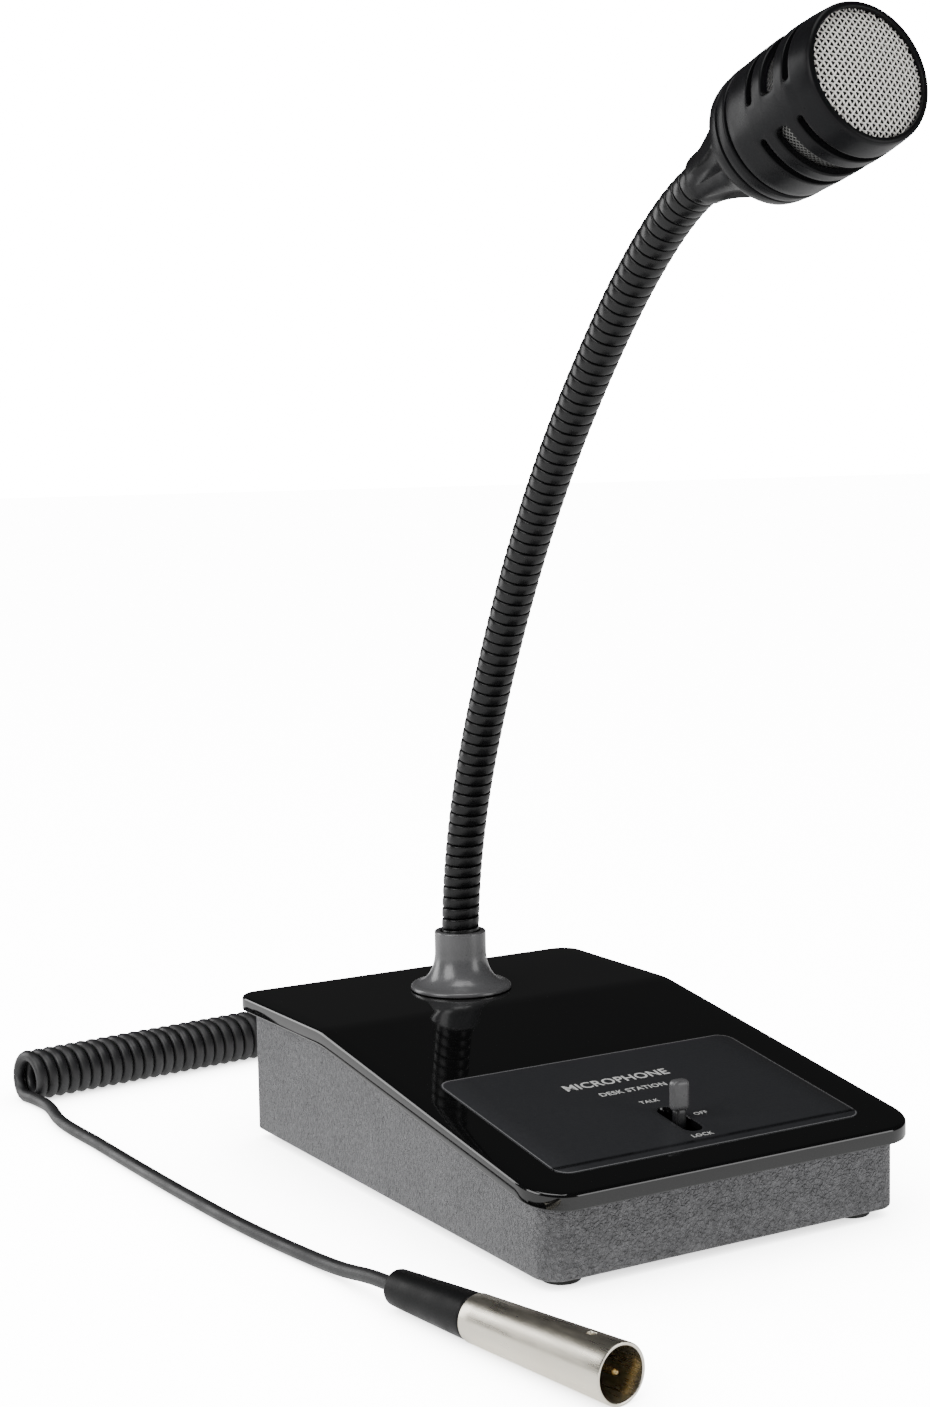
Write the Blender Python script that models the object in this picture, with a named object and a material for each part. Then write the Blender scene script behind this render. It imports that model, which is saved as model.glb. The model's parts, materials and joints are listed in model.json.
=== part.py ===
"""Desk paging microphone: a wedge base with a lever switch, a gooseneck, a slotted head and a curly cord.

Metres, +Z up. +X runs to the right along the front of the base and +Y to its back. The origin is on the
desk, under the middle of the microphone's overall box. The neck bends in the plane X = 0.
"""
import math

import bmesh
import bpy
import numpy as np
from mathutils import Matrix, Vector

# ---------------------------------------------------------------- driving sizes
GAP = 0.0003                 # clearance between pieces that touch
BASE_Y = 0.03601             # middle of the base, behind the origin

# top cover, measured from the middle of the base
LID_WIDTH = 0.161
LID_DEPTH = 0.2316
LID_REAR_Z = 0.0587          # height of the flat back part
LID_FRONT_Z = 0.0348         # height of the front edge
BEND_FROM_REAR = 0.0748      # where the flat part meets the slope, from the lid's rear edge
BEND_RADIUS = 0.060
LID_PLATE = 0.0026
LID_WALL = 0.0025
SKIRT_HEIGHT = 0.0058
LID_FRONT_RADIUS = 0.0145
LID_REAR_RADIUS = 0.009

# lower housing
HOUSING_INSET = 0.0055       # how far the lid overhangs the housing
HOUSING_WALL = 0.0025
HOUSING_FLOOR = 0.0025
FOOT_HEIGHT = 0.0035
FOOT_RADIUS = 0.007
FOOT_FROM_SIDE = 0.0185      # each foot's middle, from the lid's side
FOOT_FROM_END = 0.0178       # and from the lid's front or rear edge
BOSS_RADIUS = 0.004
SCREW_RADIUS = 0.0015
SCREW_CLEARANCE = 0.0004
SCREW_HEAD_RADIUS = 0.0033
SCREW_HEAD_HEIGHT = 0.001
COVER_SCREW_LENGTH = 0.017
BORE_END_WALL = 0.0012       # lid left above a blind screw bore, from the middle of its plate
SCREW_END_CLEARANCE = 0.0009 # between a bracket screw's tip and its bore's end

# label and switch
LABEL_WIDTH = 0.1295
LABEL_FROM_FRONT = 0.0133    # label's near edge from the lid's front edge, on plan
LABEL_DEPTH = 0.083          # on plan
LABEL_RADIUS = 0.006
LABEL_THICKNESS = 0.0006
LABEL_RECESS = 0.0006
LABEL_CLEARANCE = 0.0004
SLOT_FROM_FRONT = 0.0361     # slot's middle from the lid's front edge
SLOT_LENGTH = 0.022
SLOT_WIDTH = 0.0082
PIVOT_DEPTH = 0.018          # pivot below the slope, measured straight down
PIVOT_RADIUS = 0.0015
LEVER_THICKNESS = 0.0036
LEVER_WIDTH = 0.0045
HUB_RADIUS = 0.0038
PADDLE_WIDTH = 0.0066
PADDLE_DEPTH = 0.0042
PADDLE_BASE = 0.0032         # paddle's underside above the slope
PADDLE_HEIGHT = 0.0112
SWITCH_SIDE_WALL = 0.0037
SWITCH_END_WALL = 0.0025
CAVITY_SIDE_CLEARANCE = 0.0002     # the switch's cavity beyond the slot
CAVITY_END_CLEARANCE = 0.0015
SWITCH_RISE = 0.0065         # switch body's top above the pivot
SWITCH_DROP = 0.0075         # switch body's underside below the pivot
BRACKET_THICKNESS = 0.0015
BRACKET_SIDE_LIP = 0.001     # bracket beyond the switch body's side
BRACKET_SCREW_REACH = 0.0105       # each bracket screw beyond the slot's end
BRACKET_END = 0.0045         # bracket beyond its screws

# inside the base
BALLAST_WIDTH = 0.106
BALLAST_LENGTH = 0.118
BALLAST_THICKNESS = 0.005
BALLAST_Y = 0.022
BALLAST_BOSS_X = 0.040
BALLAST_HEAD_RADIUS = 0.0062
BOARD_WIDTH = 0.056
BOARD_LENGTH = 0.038
BOARD_THICKNESS = 0.0016
BOARD_Y = 0.012
STANDOFF_HEIGHT = 0.007
STANDOFF_RADIUS = 0.0028
STANDOFF_X = 0.024
TRANSFORMER_SIZE = (0.022, 0.018, 0.014)
TERMINAL_SIZE = (0.010, 0.026, 0.009)

# neck and its fixing
NECK_FROM_REAR = 0.044       # neck's foot, from the lid's rear edge
NECK_RADIUS = 0.00755
NECK_BORE = 0.0045
NECK_TURNS = [               # (distance along the neck, its lean from upright in degrees)
    (0.0, 0.0), (0.030, 8.3), (0.080, 19.7), (0.160, 28.2), (0.240, 37.8),
    (0.290, 44.3), (0.330, 56.3), (0.350, 69.7), (0.357, 74.5)]
NECK_JOINTS = 8
FIRST_JOINT = 0.026          # distance along the neck
JOINT_SPACING = 0.040
JOINT_SWING = 10.0           # degrees that each joint turns either way
COLLAR_HEIGHT = 0.0236
COLLAR_CLEARANCE = 0.0006    # cup round the neck
COLLAR_TOP_WALL = 0.00225
COLLAR_FLANGE_RADIUS = 0.0204
COLLAR_FLANGE = 0.0034
COLLAR_STRAIGHT = 0.0085
COLLAR_SEAT = 0.013          # cup floor above the lid
STUD_RADIUS = 0.006
STUD_BORE = 0.0035
STUD_BELOW = 0.016           # stud below the lid's top
WASHER_RADIUS = 0.010
WASHER_THICKNESS = 0.001
NUT_RADIUS = 0.0104
NUT_THICKNESS = 0.005

# head: distances run back along its axis from the front rim
SOCKET_DEPTH = 0.0078
SOCKET_CLEARANCE = 0.0007
HEAD_LENGTH = 0.086
BARREL_END = 0.0427
GROOVE = 0.0007
RING_END = 0.0478
CAP_END = 0.054
BARREL_OUTLINE = [(0.0, 0.0217), (0.0006, 0.0224), (0.0016, 0.0229), (0.010, 0.0237),
                  (0.022, 0.0237), (0.032, 0.0235), (0.0418, 0.0230), (0.0427, 0.0226)]
RING_OUTLINE = [0.0227, 0.0230, 0.0226, 0.0222]
CAP_RIM = [(0.0, 0.0220), (0.0006, 0.0224), (0.0045, 0.0217), (0.0055, 0.0209)]
CAP_CONE = [(0.0085, 0.0091), (0.0135, 0.0066), (0.0195, 0.0041), (0.0255, 0.0021), (0.0315, 0.0007)]
CAP_END_WALL = 0.00065       # round the neck's socket; the cone's radii are beyond this end's own
FLUTES = 6
FLUTE_DEPTH = 0.0016
LIP_OVERLAP = 0.0006         # lip inside the bore, in front of the grille
LIP_LENGTH = 0.0014
BARREL_BORE = 0.0212
RING_BORE = 0.0185
CABLE_BORE = 0.004
SLOT_ROWS = [(0.0110, 0.0027), (0.0203, 0.0062), (0.0296, 0.0027)]   # (middle, width)
SLOT_SPAN = 92.0             # degrees
SLOT_CENTRES = [287.0, 47.0, 167.0]
GRILLE_DOME = 0.0016
GRILLE_THICKNESS = 0.0006
RETAINER_LENGTH = 0.0016
RETAINER_WIDTH = 0.0024
FOAM_THICKNESS = 0.003
SCREEN_WALL = 0.0004
SCREEN_FRONT = 0.0090
SCREEN_REAR = 0.0395
CAPSULE_RADIUS = 0.0155
CAPSULE_FRONT = 0.0095
CAPSULE_LENGTH = 0.018
MAGNET_RADIUS = 0.010
MAGNET_LENGTH = 0.009
SHOCK_FRONT = 0.0135
SHOCK_LENGTH = 0.006

# cord, along the desk and behind the base
CORD_RADIUS = 0.0025
COIL_RADIUS = 0.011
COIL_LENGTH = 0.1975
COIL_LEFT = (-0.1335, 0.2125)      # coil's left end on plan, from the middle of the base
COIL_HEADING = 6.0                 # degrees from +X towards +Y
CORD_POINT_SPACING = 0.0115
GLAND_X = 0.045
GLAND_Z = 0.022
GLAND_FLANGE_RADIUS = 0.0065
GLAND_FLANGE = 0.002
GLAND_NECK_RADIUS = 0.0046
GLAND_CLEARANCE = 0.0004
GLAND_TAPER = 0.022
GLAND_TIP_RADIUS = 0.0031

# plug: distances run from the boot's rear to the shell's mouth
PLUG_REAR = (-0.1208, -0.0915)     # boot's rear on plan, from the middle of the base
PLUG_HEADING = 8.7                 # degrees from -Y towards +X
BOOT_LENGTH = 0.0405
BOOT_REAR_RADIUS = 0.0061
BOOT_FRONT_RADIUS = 0.0076
SHELL_LENGTH = 0.0660
SHELL_REAR_RADIUS = 0.0079
MOUTH_RADIUS = 0.00955
SHELL_WALL = 0.0011
INSERT_DEPTH = 0.0165
INSERT_LENGTH = 0.010
PIN_RADIUS = 0.0012
PIN_LENGTH = 0.0105
PIN_CIRCLE = 0.0045
NOTCH_RADIUS = 0.0014
NOTCH_FROM_MOUTH = 0.0125

SIDES = 24                   # faces round a turned piece
SMALL_SIDES = 12

# ---------------------------------------------------------------- sizes that follow from the ones above
FRONT_Y = -LID_DEPTH / 2.0         # from the middle of the base
REAR_Y = LID_DEPTH / 2.0
BEND_Y = REAR_Y - BEND_FROM_REAR
FOOT_X = LID_WIDTH / 2.0 - FOOT_FROM_SIDE
FOOT_Y = REAR_Y - FOOT_FROM_END
LABEL_FRONT_Y = FRONT_Y + LABEL_FROM_FRONT
LABEL_REAR_Y = LABEL_FRONT_Y + LABEL_DEPTH
SLOT_Y = FRONT_Y + SLOT_FROM_FRONT
NECK_Y = REAR_Y - NECK_FROM_REAR
SWITCH_CAVITY_WIDTH = SLOT_WIDTH + 2.0 * CAVITY_SIDE_CLEARANCE
SWITCH_CAVITY_LENGTH = SLOT_LENGTH + 2.0 * CAVITY_END_CLEARANCE
SWITCH_WIDTH = SWITCH_CAVITY_WIDTH + 2.0 * SWITCH_SIDE_WALL
SWITCH_LENGTH = SWITCH_CAVITY_LENGTH + 2.0 * SWITCH_END_WALL
BRACKET_WIDTH = SWITCH_WIDTH + 2.0 * BRACKET_SIDE_LIP
BRACKET_SCREW_Y = SLOT_LENGTH / 2.0 + BRACKET_SCREW_REACH
BRACKET_LENGTH = 2.0 * (BRACKET_SCREW_Y + BRACKET_END)
COLLAR_BORE = NECK_RADIUS + COLLAR_CLEARANCE
COLLAR_TOP_RADIUS = COLLAR_BORE + COLLAR_TOP_WALL
SOCKET_RADIUS = NECK_RADIUS + SOCKET_CLEARANCE
CAP_END_RADIUS = SOCKET_RADIUS + CAP_END_WALL
LIP_RADIUS = BARREL_BORE - LIP_OVERLAP


# ---------------------------------------------------------------- making objects
def clear_scene():
    for item in list(bpy.data.objects):
        bpy.data.objects.remove(item, do_unlink=True)


def material(name, colour, roughness, metallic=0.0):
    made = bpy.data.materials.get(name) or bpy.data.materials.new(name)
    made.use_nodes = True
    shader = made.node_tree.nodes["Principled BSDF"]
    shader.inputs["Base Color"].default_value = (*colour, 1.0)
    shader.inputs["Roughness"].default_value = roughness
    shader.inputs["Metallic"].default_value = metallic
    return made


MATERIALS = {
    "gloss_black": ((0.012, 0.012, 0.013), 0.08, 0.0),
    "grained_black": ((0.060, 0.060, 0.063), 0.55, 0.0),
    "matt_black": ((0.030, 0.030, 0.032), 0.50, 0.0),
    "label_black": ((0.022, 0.022, 0.024), 0.45, 0.0),
    "satin_black_metal": ((0.040, 0.040, 0.042), 0.32, 0.9),
    "black_rubber": ((0.018, 0.018, 0.018), 0.80, 0.0),
    "steel": ((0.55, 0.55, 0.56), 0.35, 1.0),
    "brass": ((0.72, 0.52, 0.22), 0.30, 1.0),
    "woven_steel": ((0.72, 0.71, 0.68), 0.30, 1.0),
    "foam": ((0.020, 0.020, 0.020), 0.95, 0.0),
    "nickel": ((0.66, 0.62, 0.52), 0.30, 1.0),
    "board_green": ((0.03, 0.16, 0.07), 0.40, 0.0),
    "terminal_green": ((0.06, 0.30, 0.12), 0.45, 0.0),
}


def finish(obj, finish_name):
    obj.data.materials.clear()
    obj.data.materials.append(material(finish_name, *MATERIALS[finish_name]))
    return obj


def add_object(name, mesh_maker, finish_name, place=None, origin=(0.0, 0.0, 0.0)):
    """Make an object from a bmesh whose shape is in its own frame; place carries it into the part's frame."""
    shape = mesh_maker() if callable(mesh_maker) else mesh_maker
    if place is not None:
        bmesh.ops.transform(shape, matrix=place, verts=shape.verts)
    bmesh.ops.translate(shape, vec=-Vector(origin), verts=shape.verts)
    bmesh.ops.recalc_face_normals(shape, faces=shape.faces)
    mesh = bpy.data.meshes.new(name)
    shape.to_mesh(mesh)
    shape.free()
    obj = bpy.data.objects.new(name, mesh)
    obj.location = origin
    bpy.context.collection.objects.link(obj)
    mesh.shade_smooth()
    mesh.set_sharp_from_angle(angle=math.radians(35.0))
    return finish(obj, finish_name)


def cutter(name, shape, place=None):
    """A hidden object that a Boolean takes away or adds."""
    obj = add_object(name, shape, "matt_black", place)
    obj.hide_render = True
    obj.display_type = "WIRE"
    return obj


def combine(target, other, operation):
    step = target.modifiers.new(other.name, "BOOLEAN")
    step.operation = operation
    step.solver = "EXACT"
    step.object = other


# ---------------------------------------------------------------- basic shapes
def box(low, high):
    shape = bmesh.new()
    bmesh.ops.create_cube(shape, size=1.0)
    size = Vector(high) - Vector(low)
    middle = (Vector(high) + Vector(low)) / 2.0
    bmesh.ops.scale(shape, vec=size, verts=shape.verts)
    bmesh.ops.translate(shape, vec=middle, verts=shape.verts)
    return shape


def turned(profile, sides=SIDES, radius_scale=None):
    """Solid of revolution about Z from (radius, height) points; a radius of 0 closes on the axis.

    An open profile must start and end on the axis; any other is taken as a closed ring section.
    radius_scale(turn, radius, height) may shape the outer side.
    """
    shape = bmesh.new()
    rings = []
    for radius, height in profile:
        if radius == 0.0:
            rings.append([shape.verts.new((0.0, 0.0, height))])
            continue
        ring = []
        for i in range(sides):
            turn = 2.0 * math.pi * i / sides
            r = radius if radius_scale is None else radius_scale(turn, radius, height)
            ring.append(shape.verts.new((r * math.cos(turn), r * math.sin(turn), height)))
        rings.append(ring)
    on_axis = profile[0][0] == 0.0
    pairs = list(zip(rings, rings[1:])) if on_axis else list(zip(rings, rings[1:] + rings[:1]))
    for lower, upper in pairs:
        for i in range(sides):
            corners = [lower[i % len(lower)], lower[(i + 1) % len(lower)],
                       upper[(i + 1) % len(upper)], upper[i % len(upper)]]
            corners = [c for k, c in enumerate(corners) if c not in corners[:k]]
            if len(corners) >= 3:
                shape.faces.new(corners)
    return shape


def rod(radius, low, high, sides=SMALL_SIDES):
    return turned([(0.0, low), (radius, low), (radius, high), (0.0, high)], sides)


def tube(outer, inner, low, high, sides=SIDES):
    return turned([(outer, low), (outer, high), (inner, high), (inner, low)], sides)


def screw_post(radius, bore, mouth, bottom, end):
    """Round post with a blind screw bore open at its mouth; bottom is the bore's own end."""
    return turned([(0.0, bottom), (bore, bottom), (bore, mouth), (radius, mouth), (radius, end), (0.0, end)],
                  SMALL_SIDES)


def arc(centre, radius, start, end, count):
    """Points on a circle from one angle to another, in degrees."""
    angles = np.radians(np.linspace(start, end, count))
    return [(centre[0] + radius * math.cos(a), centre[1] + radius * math.sin(a)) for a in angles]


def extruded(outline, low, high):
    """Prism over a flat outline of (x, y) points."""
    shape = bmesh.new()
    bottom = [shape.verts.new((x, y, low)) for x, y in outline]
    top = [shape.verts.new((x, y, high)) for x, y in outline]
    shape.faces.new(bottom[::-1])
    shape.faces.new(top)
    for i in range(len(outline)):
        j = (i + 1) % len(outline)
        shape.faces.new((bottom[i], bottom[j], top[j], top[i]))
    return shape


def oblong(width, length, sides=8):
    """Slot outline with round ends, long along Y."""
    r = width / 2.0
    half = length / 2.0 - r
    return arc((0.0, half), r, 0, 180, sides) + arc((0.0, -half), r, 180, 360, sides)


# ---------------------------------------------------------------- base
def lid_top(y):
    """Height of the lid at y from the middle of the base: flat, a rounded bend, then the slope."""
    fall = (LID_REAR_Z - LID_FRONT_Z) / (BEND_Y + LID_DEPTH / 2.0)
    reach = BEND_RADIUS * math.tan(math.atan(fall) / 2.0)
    if y >= BEND_Y + reach:
        return LID_REAR_Z
    if y >= BEND_Y - reach:
        return LID_REAR_Z - fall * (BEND_Y + reach - y) ** 2 / (4.0 * reach)
    return LID_REAR_Z - fall * (BEND_Y - y)


SLOPE = math.atan((LID_REAR_Z - LID_FRONT_Z) / (BEND_Y + LID_DEPTH / 2.0))


def wedge(inset, low, high, y_step=0.0):
    """Closed wedge under the lid's outline, pulled in by inset; low and high are heights as functions of y."""
    half_depth = LID_DEPTH / 2.0 - inset
    half_width = LID_WIDTH / 2.0 - inset
    front = max(LID_FRONT_RADIUS - inset, 0.0005)
    rear = max(LID_REAR_RADIUS - inset, 0.0005)
    stations = [(-half_depth + front * (1.0 - math.cos(a)), half_width - front * (1.0 - math.sin(a)))
                for a in np.radians(np.linspace(0, 90, 7))]
    stations += [(BEND_Y + k * BEND_RADIUS * math.tan(SLOPE / 2.0), half_width) for k in (-1.0, -0.33, 0.33, 1.0)]
    stations += [(half_depth - rear * (1.0 - math.cos(a)), half_width - rear * (1.0 - math.sin(a)))
                 for a in np.radians(np.linspace(90, 0, 6))]
    shape = bmesh.new()
    sections = []
    for y, half in stations:
        corners = [(-half, low(y)), (half, low(y)), (half, high(y)), (-half, high(y))]
        sections.append([shape.verts.new((x, y, z)) for x, z in corners])
    for near, far in zip(sections, sections[1:]):
        for i in range(4):
            j = (i + 1) % 4
            shape.faces.new((near[i], near[j], far[j], far[i]))
    shape.faces.new(sections[0][::-1])
    shape.faces.new(sections[-1])
    return shape


def at_base(x=0.0, y=0.0, z=0.0):
    """Move from the middle of the base to the part's frame."""
    return Matrix.Translation((x, y + BASE_Y, z))


def on_slope(y, lift=0.0):
    """Frame on the lid's slope at y, its Z square to the slope."""
    middle = Vector((0.0, y + BASE_Y, lid_top(y)))
    return Matrix.Translation(middle) @ Matrix.Rotation(SLOPE, 4, "X") @ Matrix.Translation((0.0, 0.0, lift))


FLOOR_TOP = FOOT_HEIGHT + HOUSING_FLOOR
CORNERS = [("front_left", -1, -1), ("front_right", 1, -1), ("rear_left", -1, 1), ("rear_right", 1, 1)]
LABEL_Y = (LABEL_REAR_Y + LABEL_FRONT_Y) / 2.0
LABEL_LENGTH = (LABEL_REAR_Y - LABEL_FRONT_Y) / math.cos(SLOPE)
PIVOT = (0.0, SLOT_Y + BASE_Y, lid_top(SLOT_Y) - PIVOT_DEPTH)
BRACKET_Z = PIVOT[2] + SWITCH_RISE + GAP
REAR_WALL_Y = REAR_Y - HOUSING_INSET


def label_outline(grow):
    half_x = LABEL_WIDTH / 2.0 + grow
    half_y = LABEL_LENGTH / 2.0 + grow
    r = LABEL_RADIUS + grow
    points = []
    for sx, sy, start in ((1, 1, 0), (-1, 1, 90), (-1, -1, 180), (1, -1, 270)):
        points += arc((sx * (half_x - r), sy * (half_y - r)), r, start, start + 90, 5)
    return points


def make_top_cover():
    lid = add_object("top_cover", wedge(0.0, lambda y: lid_top(y) - SKIRT_HEIGHT, lid_top), "gloss_black", at_base())
    hollow = wedge(LID_WALL, lambda y: lid_top(y) - 2.0 * SKIRT_HEIGHT, lambda y: lid_top(y) - LID_PLATE)
    combine(lid, cutter("lid_hollow", hollow, at_base()), "DIFFERENCE")
    bosses = [(f"lid_boss_{name}", sx * FOOT_X, sy * FOOT_Y, FLOOR_TOP + GAP) for name, sx, sy in CORNERS]
    for side in (-1, 1):
        y = SLOT_Y + side * BRACKET_SCREW_Y
        bosses.append((f"bracket_boss_{side}", 0.0, y, BRACKET_Z + BRACKET_THICKNESS + GAP))
    for name, x, y, foot in bosses:
        top = lid_top(y) - LID_PLATE / 2.0
        bottom = min(foot + COVER_SCREW_LENGTH, top - BORE_END_WALL)
        post = screw_post(BOSS_RADIUS, SCREW_RADIUS + GAP, foot, bottom, top)
        combine(lid, cutter(name, post, at_base(x, y)), "UNION")
    hole = rod(STUD_RADIUS + SCREW_CLEARANCE, LID_REAR_Z - 0.02, LID_REAR_Z + 0.01, SIDES)
    combine(lid, cutter("stud_hole", hole, at_base(0.0, NECK_Y)), "DIFFERENCE")
    recess = extruded(label_outline(LABEL_CLEARANCE), -LABEL_RECESS, 0.01)
    combine(lid, cutter("label_recess", recess, on_slope(LABEL_Y)), "DIFFERENCE")
    slot = extruded(oblong(SLOT_WIDTH, SLOT_LENGTH), -0.01, 0.01)
    combine(lid, cutter("lever_slot", slot, on_slope(SLOT_Y)), "DIFFERENCE")


def make_lower_housing():
    under_lid = LID_PLATE + GAP
    outer = wedge(HOUSING_INSET, lambda y: FOOT_HEIGHT, lambda y: lid_top(y) - under_lid)
    housing = add_object("lower_housing", outer, "grained_black", at_base())
    inner = wedge(HOUSING_INSET + HOUSING_WALL, lambda y: FLOOR_TOP, lambda y: lid_top(y) + 0.01)
    combine(housing, cutter("housing_hollow", inner, at_base()), "DIFFERENCE")
    for side in (-1, 1):
        post = screw_post(BOSS_RADIUS, SCREW_RADIUS + GAP, FLOOR_TOP + BALLAST_THICKNESS, FLOOR_TOP + 0.0002,
                          FLOOR_TOP - 0.001)
        combine(housing, cutter(f"ballast_boss_{side}", post, at_base(side * BALLAST_BOSS_X, BALLAST_Y)), "UNION")
    for name, sx, sy in CORNERS:
        hole = rod(SCREW_RADIUS + SCREW_CLEARANCE, 0.0, FLOOR_TOP + 0.002)
        combine(housing, cutter("floor_hole_" + name, hole, at_base(sx * FOOT_X, sy * FOOT_Y)), "DIFFERENCE")
    gland_hole = rod(GLAND_NECK_RADIUS + GLAND_CLEARANCE, -0.01, 0.01, SIDES)
    combine(housing, cutter("gland_hole", gland_hole, gland_frame()), "DIFFERENCE")


def make_feet_and_cover_screws():
    head_low = GAP
    hole = SCREW_RADIUS + SCREW_CLEARANCE
    recess = SCREW_HEAD_RADIUS + SCREW_CLEARANCE
    step = head_low + SCREW_HEAD_HEIGHT + GAP
    top = FOOT_HEIGHT - GAP
    foot = [(recess, 0.0), (FOOT_RADIUS * 0.94, 0.0), (FOOT_RADIUS, 0.0006), (FOOT_RADIUS, top),
            (hole, top), (hole, step), (recess, step)]
    shank_top = head_low + COVER_SCREW_LENGTH
    screw = [(0.0, head_low), (SCREW_HEAD_RADIUS * 0.8, head_low), (SCREW_HEAD_RADIUS, head_low + 0.0004),
             (SCREW_HEAD_RADIUS, head_low + SCREW_HEAD_HEIGHT), (SCREW_RADIUS, head_low + SCREW_HEAD_HEIGHT),
             (SCREW_RADIUS, shank_top - 0.001), (0.0, shank_top)]
    for name, sx, sy in CORNERS:
        place = at_base(sx * FOOT_X, sy * FOOT_Y)
        add_object("foot_" + name, turned(foot, 20), "black_rubber", place)
        add_object("cover_screw_" + name, turned(screw, SMALL_SIDES), "steel", place)


def make_label():
    label = extruded(label_outline(0.0), -LABEL_RECESS + GAP, -LABEL_RECESS + GAP + LABEL_THICKNESS)
    obj = add_object("control_label", label, "label_black", on_slope(LABEL_Y))
    slot = extruded(oblong(SLOT_WIDTH, SLOT_LENGTH), -0.01, 0.01)
    combine(obj, cutter("label_slot", slot, on_slope(SLOT_Y)), "DIFFERENCE")


def make_ballast():
    low = FLOOR_TOP + GAP
    high = low + BALLAST_THICKNESS
    half_x = BALLAST_WIDTH / 2.0
    half_y = BALLAST_LENGTH / 2.0
    plate = add_object("ballast_plate", box((-half_x, -half_y, low), (half_x, half_y, high)), "steel",
                       at_base(0.0, BALLAST_Y))
    for side, name in ((-1, "left"), (1, "right")):
        place = at_base(side * BALLAST_BOSS_X, BALLAST_Y)
        hole = rod(BOSS_RADIUS + 0.0005, low - 0.01, high + 0.01)
        combine(plate, cutter(f"ballast_hole_{name}", hole, place), "DIFFERENCE")
        head = high + GAP
        screw = [(0.0, FLOOR_TOP + 0.0008), (SCREW_RADIUS, FLOOR_TOP + 0.0012), (SCREW_RADIUS, head),
                 (BALLAST_HEAD_RADIUS, head), (BALLAST_HEAD_RADIUS, head + 0.0012), (0.0, head + 0.0022)]
        add_object("ballast_screw_" + name, turned(screw, SMALL_SIDES), "steel", place)
    return high


def make_electronics():
    ballast_top = FLOOR_TOP + GAP + BALLAST_THICKNESS
    foot = ballast_top + GAP
    board_low = foot + STANDOFF_HEIGHT + GAP
    board_high = board_low + BOARD_THICKNESS
    for side, name in ((-1, "left"), (1, "right")):
        place = at_base(side * STANDOFF_X, BOARD_Y)
        post = [(0.0, foot), (STANDOFF_RADIUS, foot), (STANDOFF_RADIUS, foot + STANDOFF_HEIGHT),
                (SCREW_RADIUS + GAP, foot + STANDOFF_HEIGHT), (SCREW_RADIUS + GAP, foot + 0.002),
                (0.0, foot + 0.002)]
        add_object("standoff_" + name, turned(post, 6), "brass", place)
        screw = [(0.0, foot + 0.003), (SCREW_RADIUS - GAP, foot + 0.0034), (SCREW_RADIUS - GAP, board_high + GAP),
                 (0.0026, board_high + GAP), (0.0026, board_high + 0.0013), (0.0, board_high + 0.0018)]
        add_object("board_screw_" + name, turned(screw, SMALL_SIDES), "steel", place)
    half_x = BOARD_WIDTH / 2.0
    half_y = BOARD_LENGTH / 2.0
    board = add_object("circuit_board", box((-half_x, -half_y, board_low), (half_x, half_y, board_high)),
                       "board_green", at_base(0.0, BOARD_Y))
    for side in (-1, 1):
        hole = rod(SCREW_RADIUS + SCREW_CLEARANCE, board_low - 0.001, board_high + 0.001)
        combine(board, cutter(f"board_hole_{side}", hole, at_base(side * STANDOFF_X, BOARD_Y)), "DIFFERENCE")
    part_low = board_high + GAP
    width, length, height = TRANSFORMER_SIZE
    add_object("output_transformer", box((-width / 2.0, -length / 2.0, part_low),
                                         (width / 2.0, length / 2.0, part_low + height)),
               "steel", at_base(-0.004, BOARD_Y))
    width, length, height = TERMINAL_SIZE
    add_object("terminal_block", box((-width / 2.0, -length / 2.0, part_low),
                                     (width / 2.0, length / 2.0, part_low + height)),
               "terminal_green", at_base(0.014, BOARD_Y))


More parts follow.
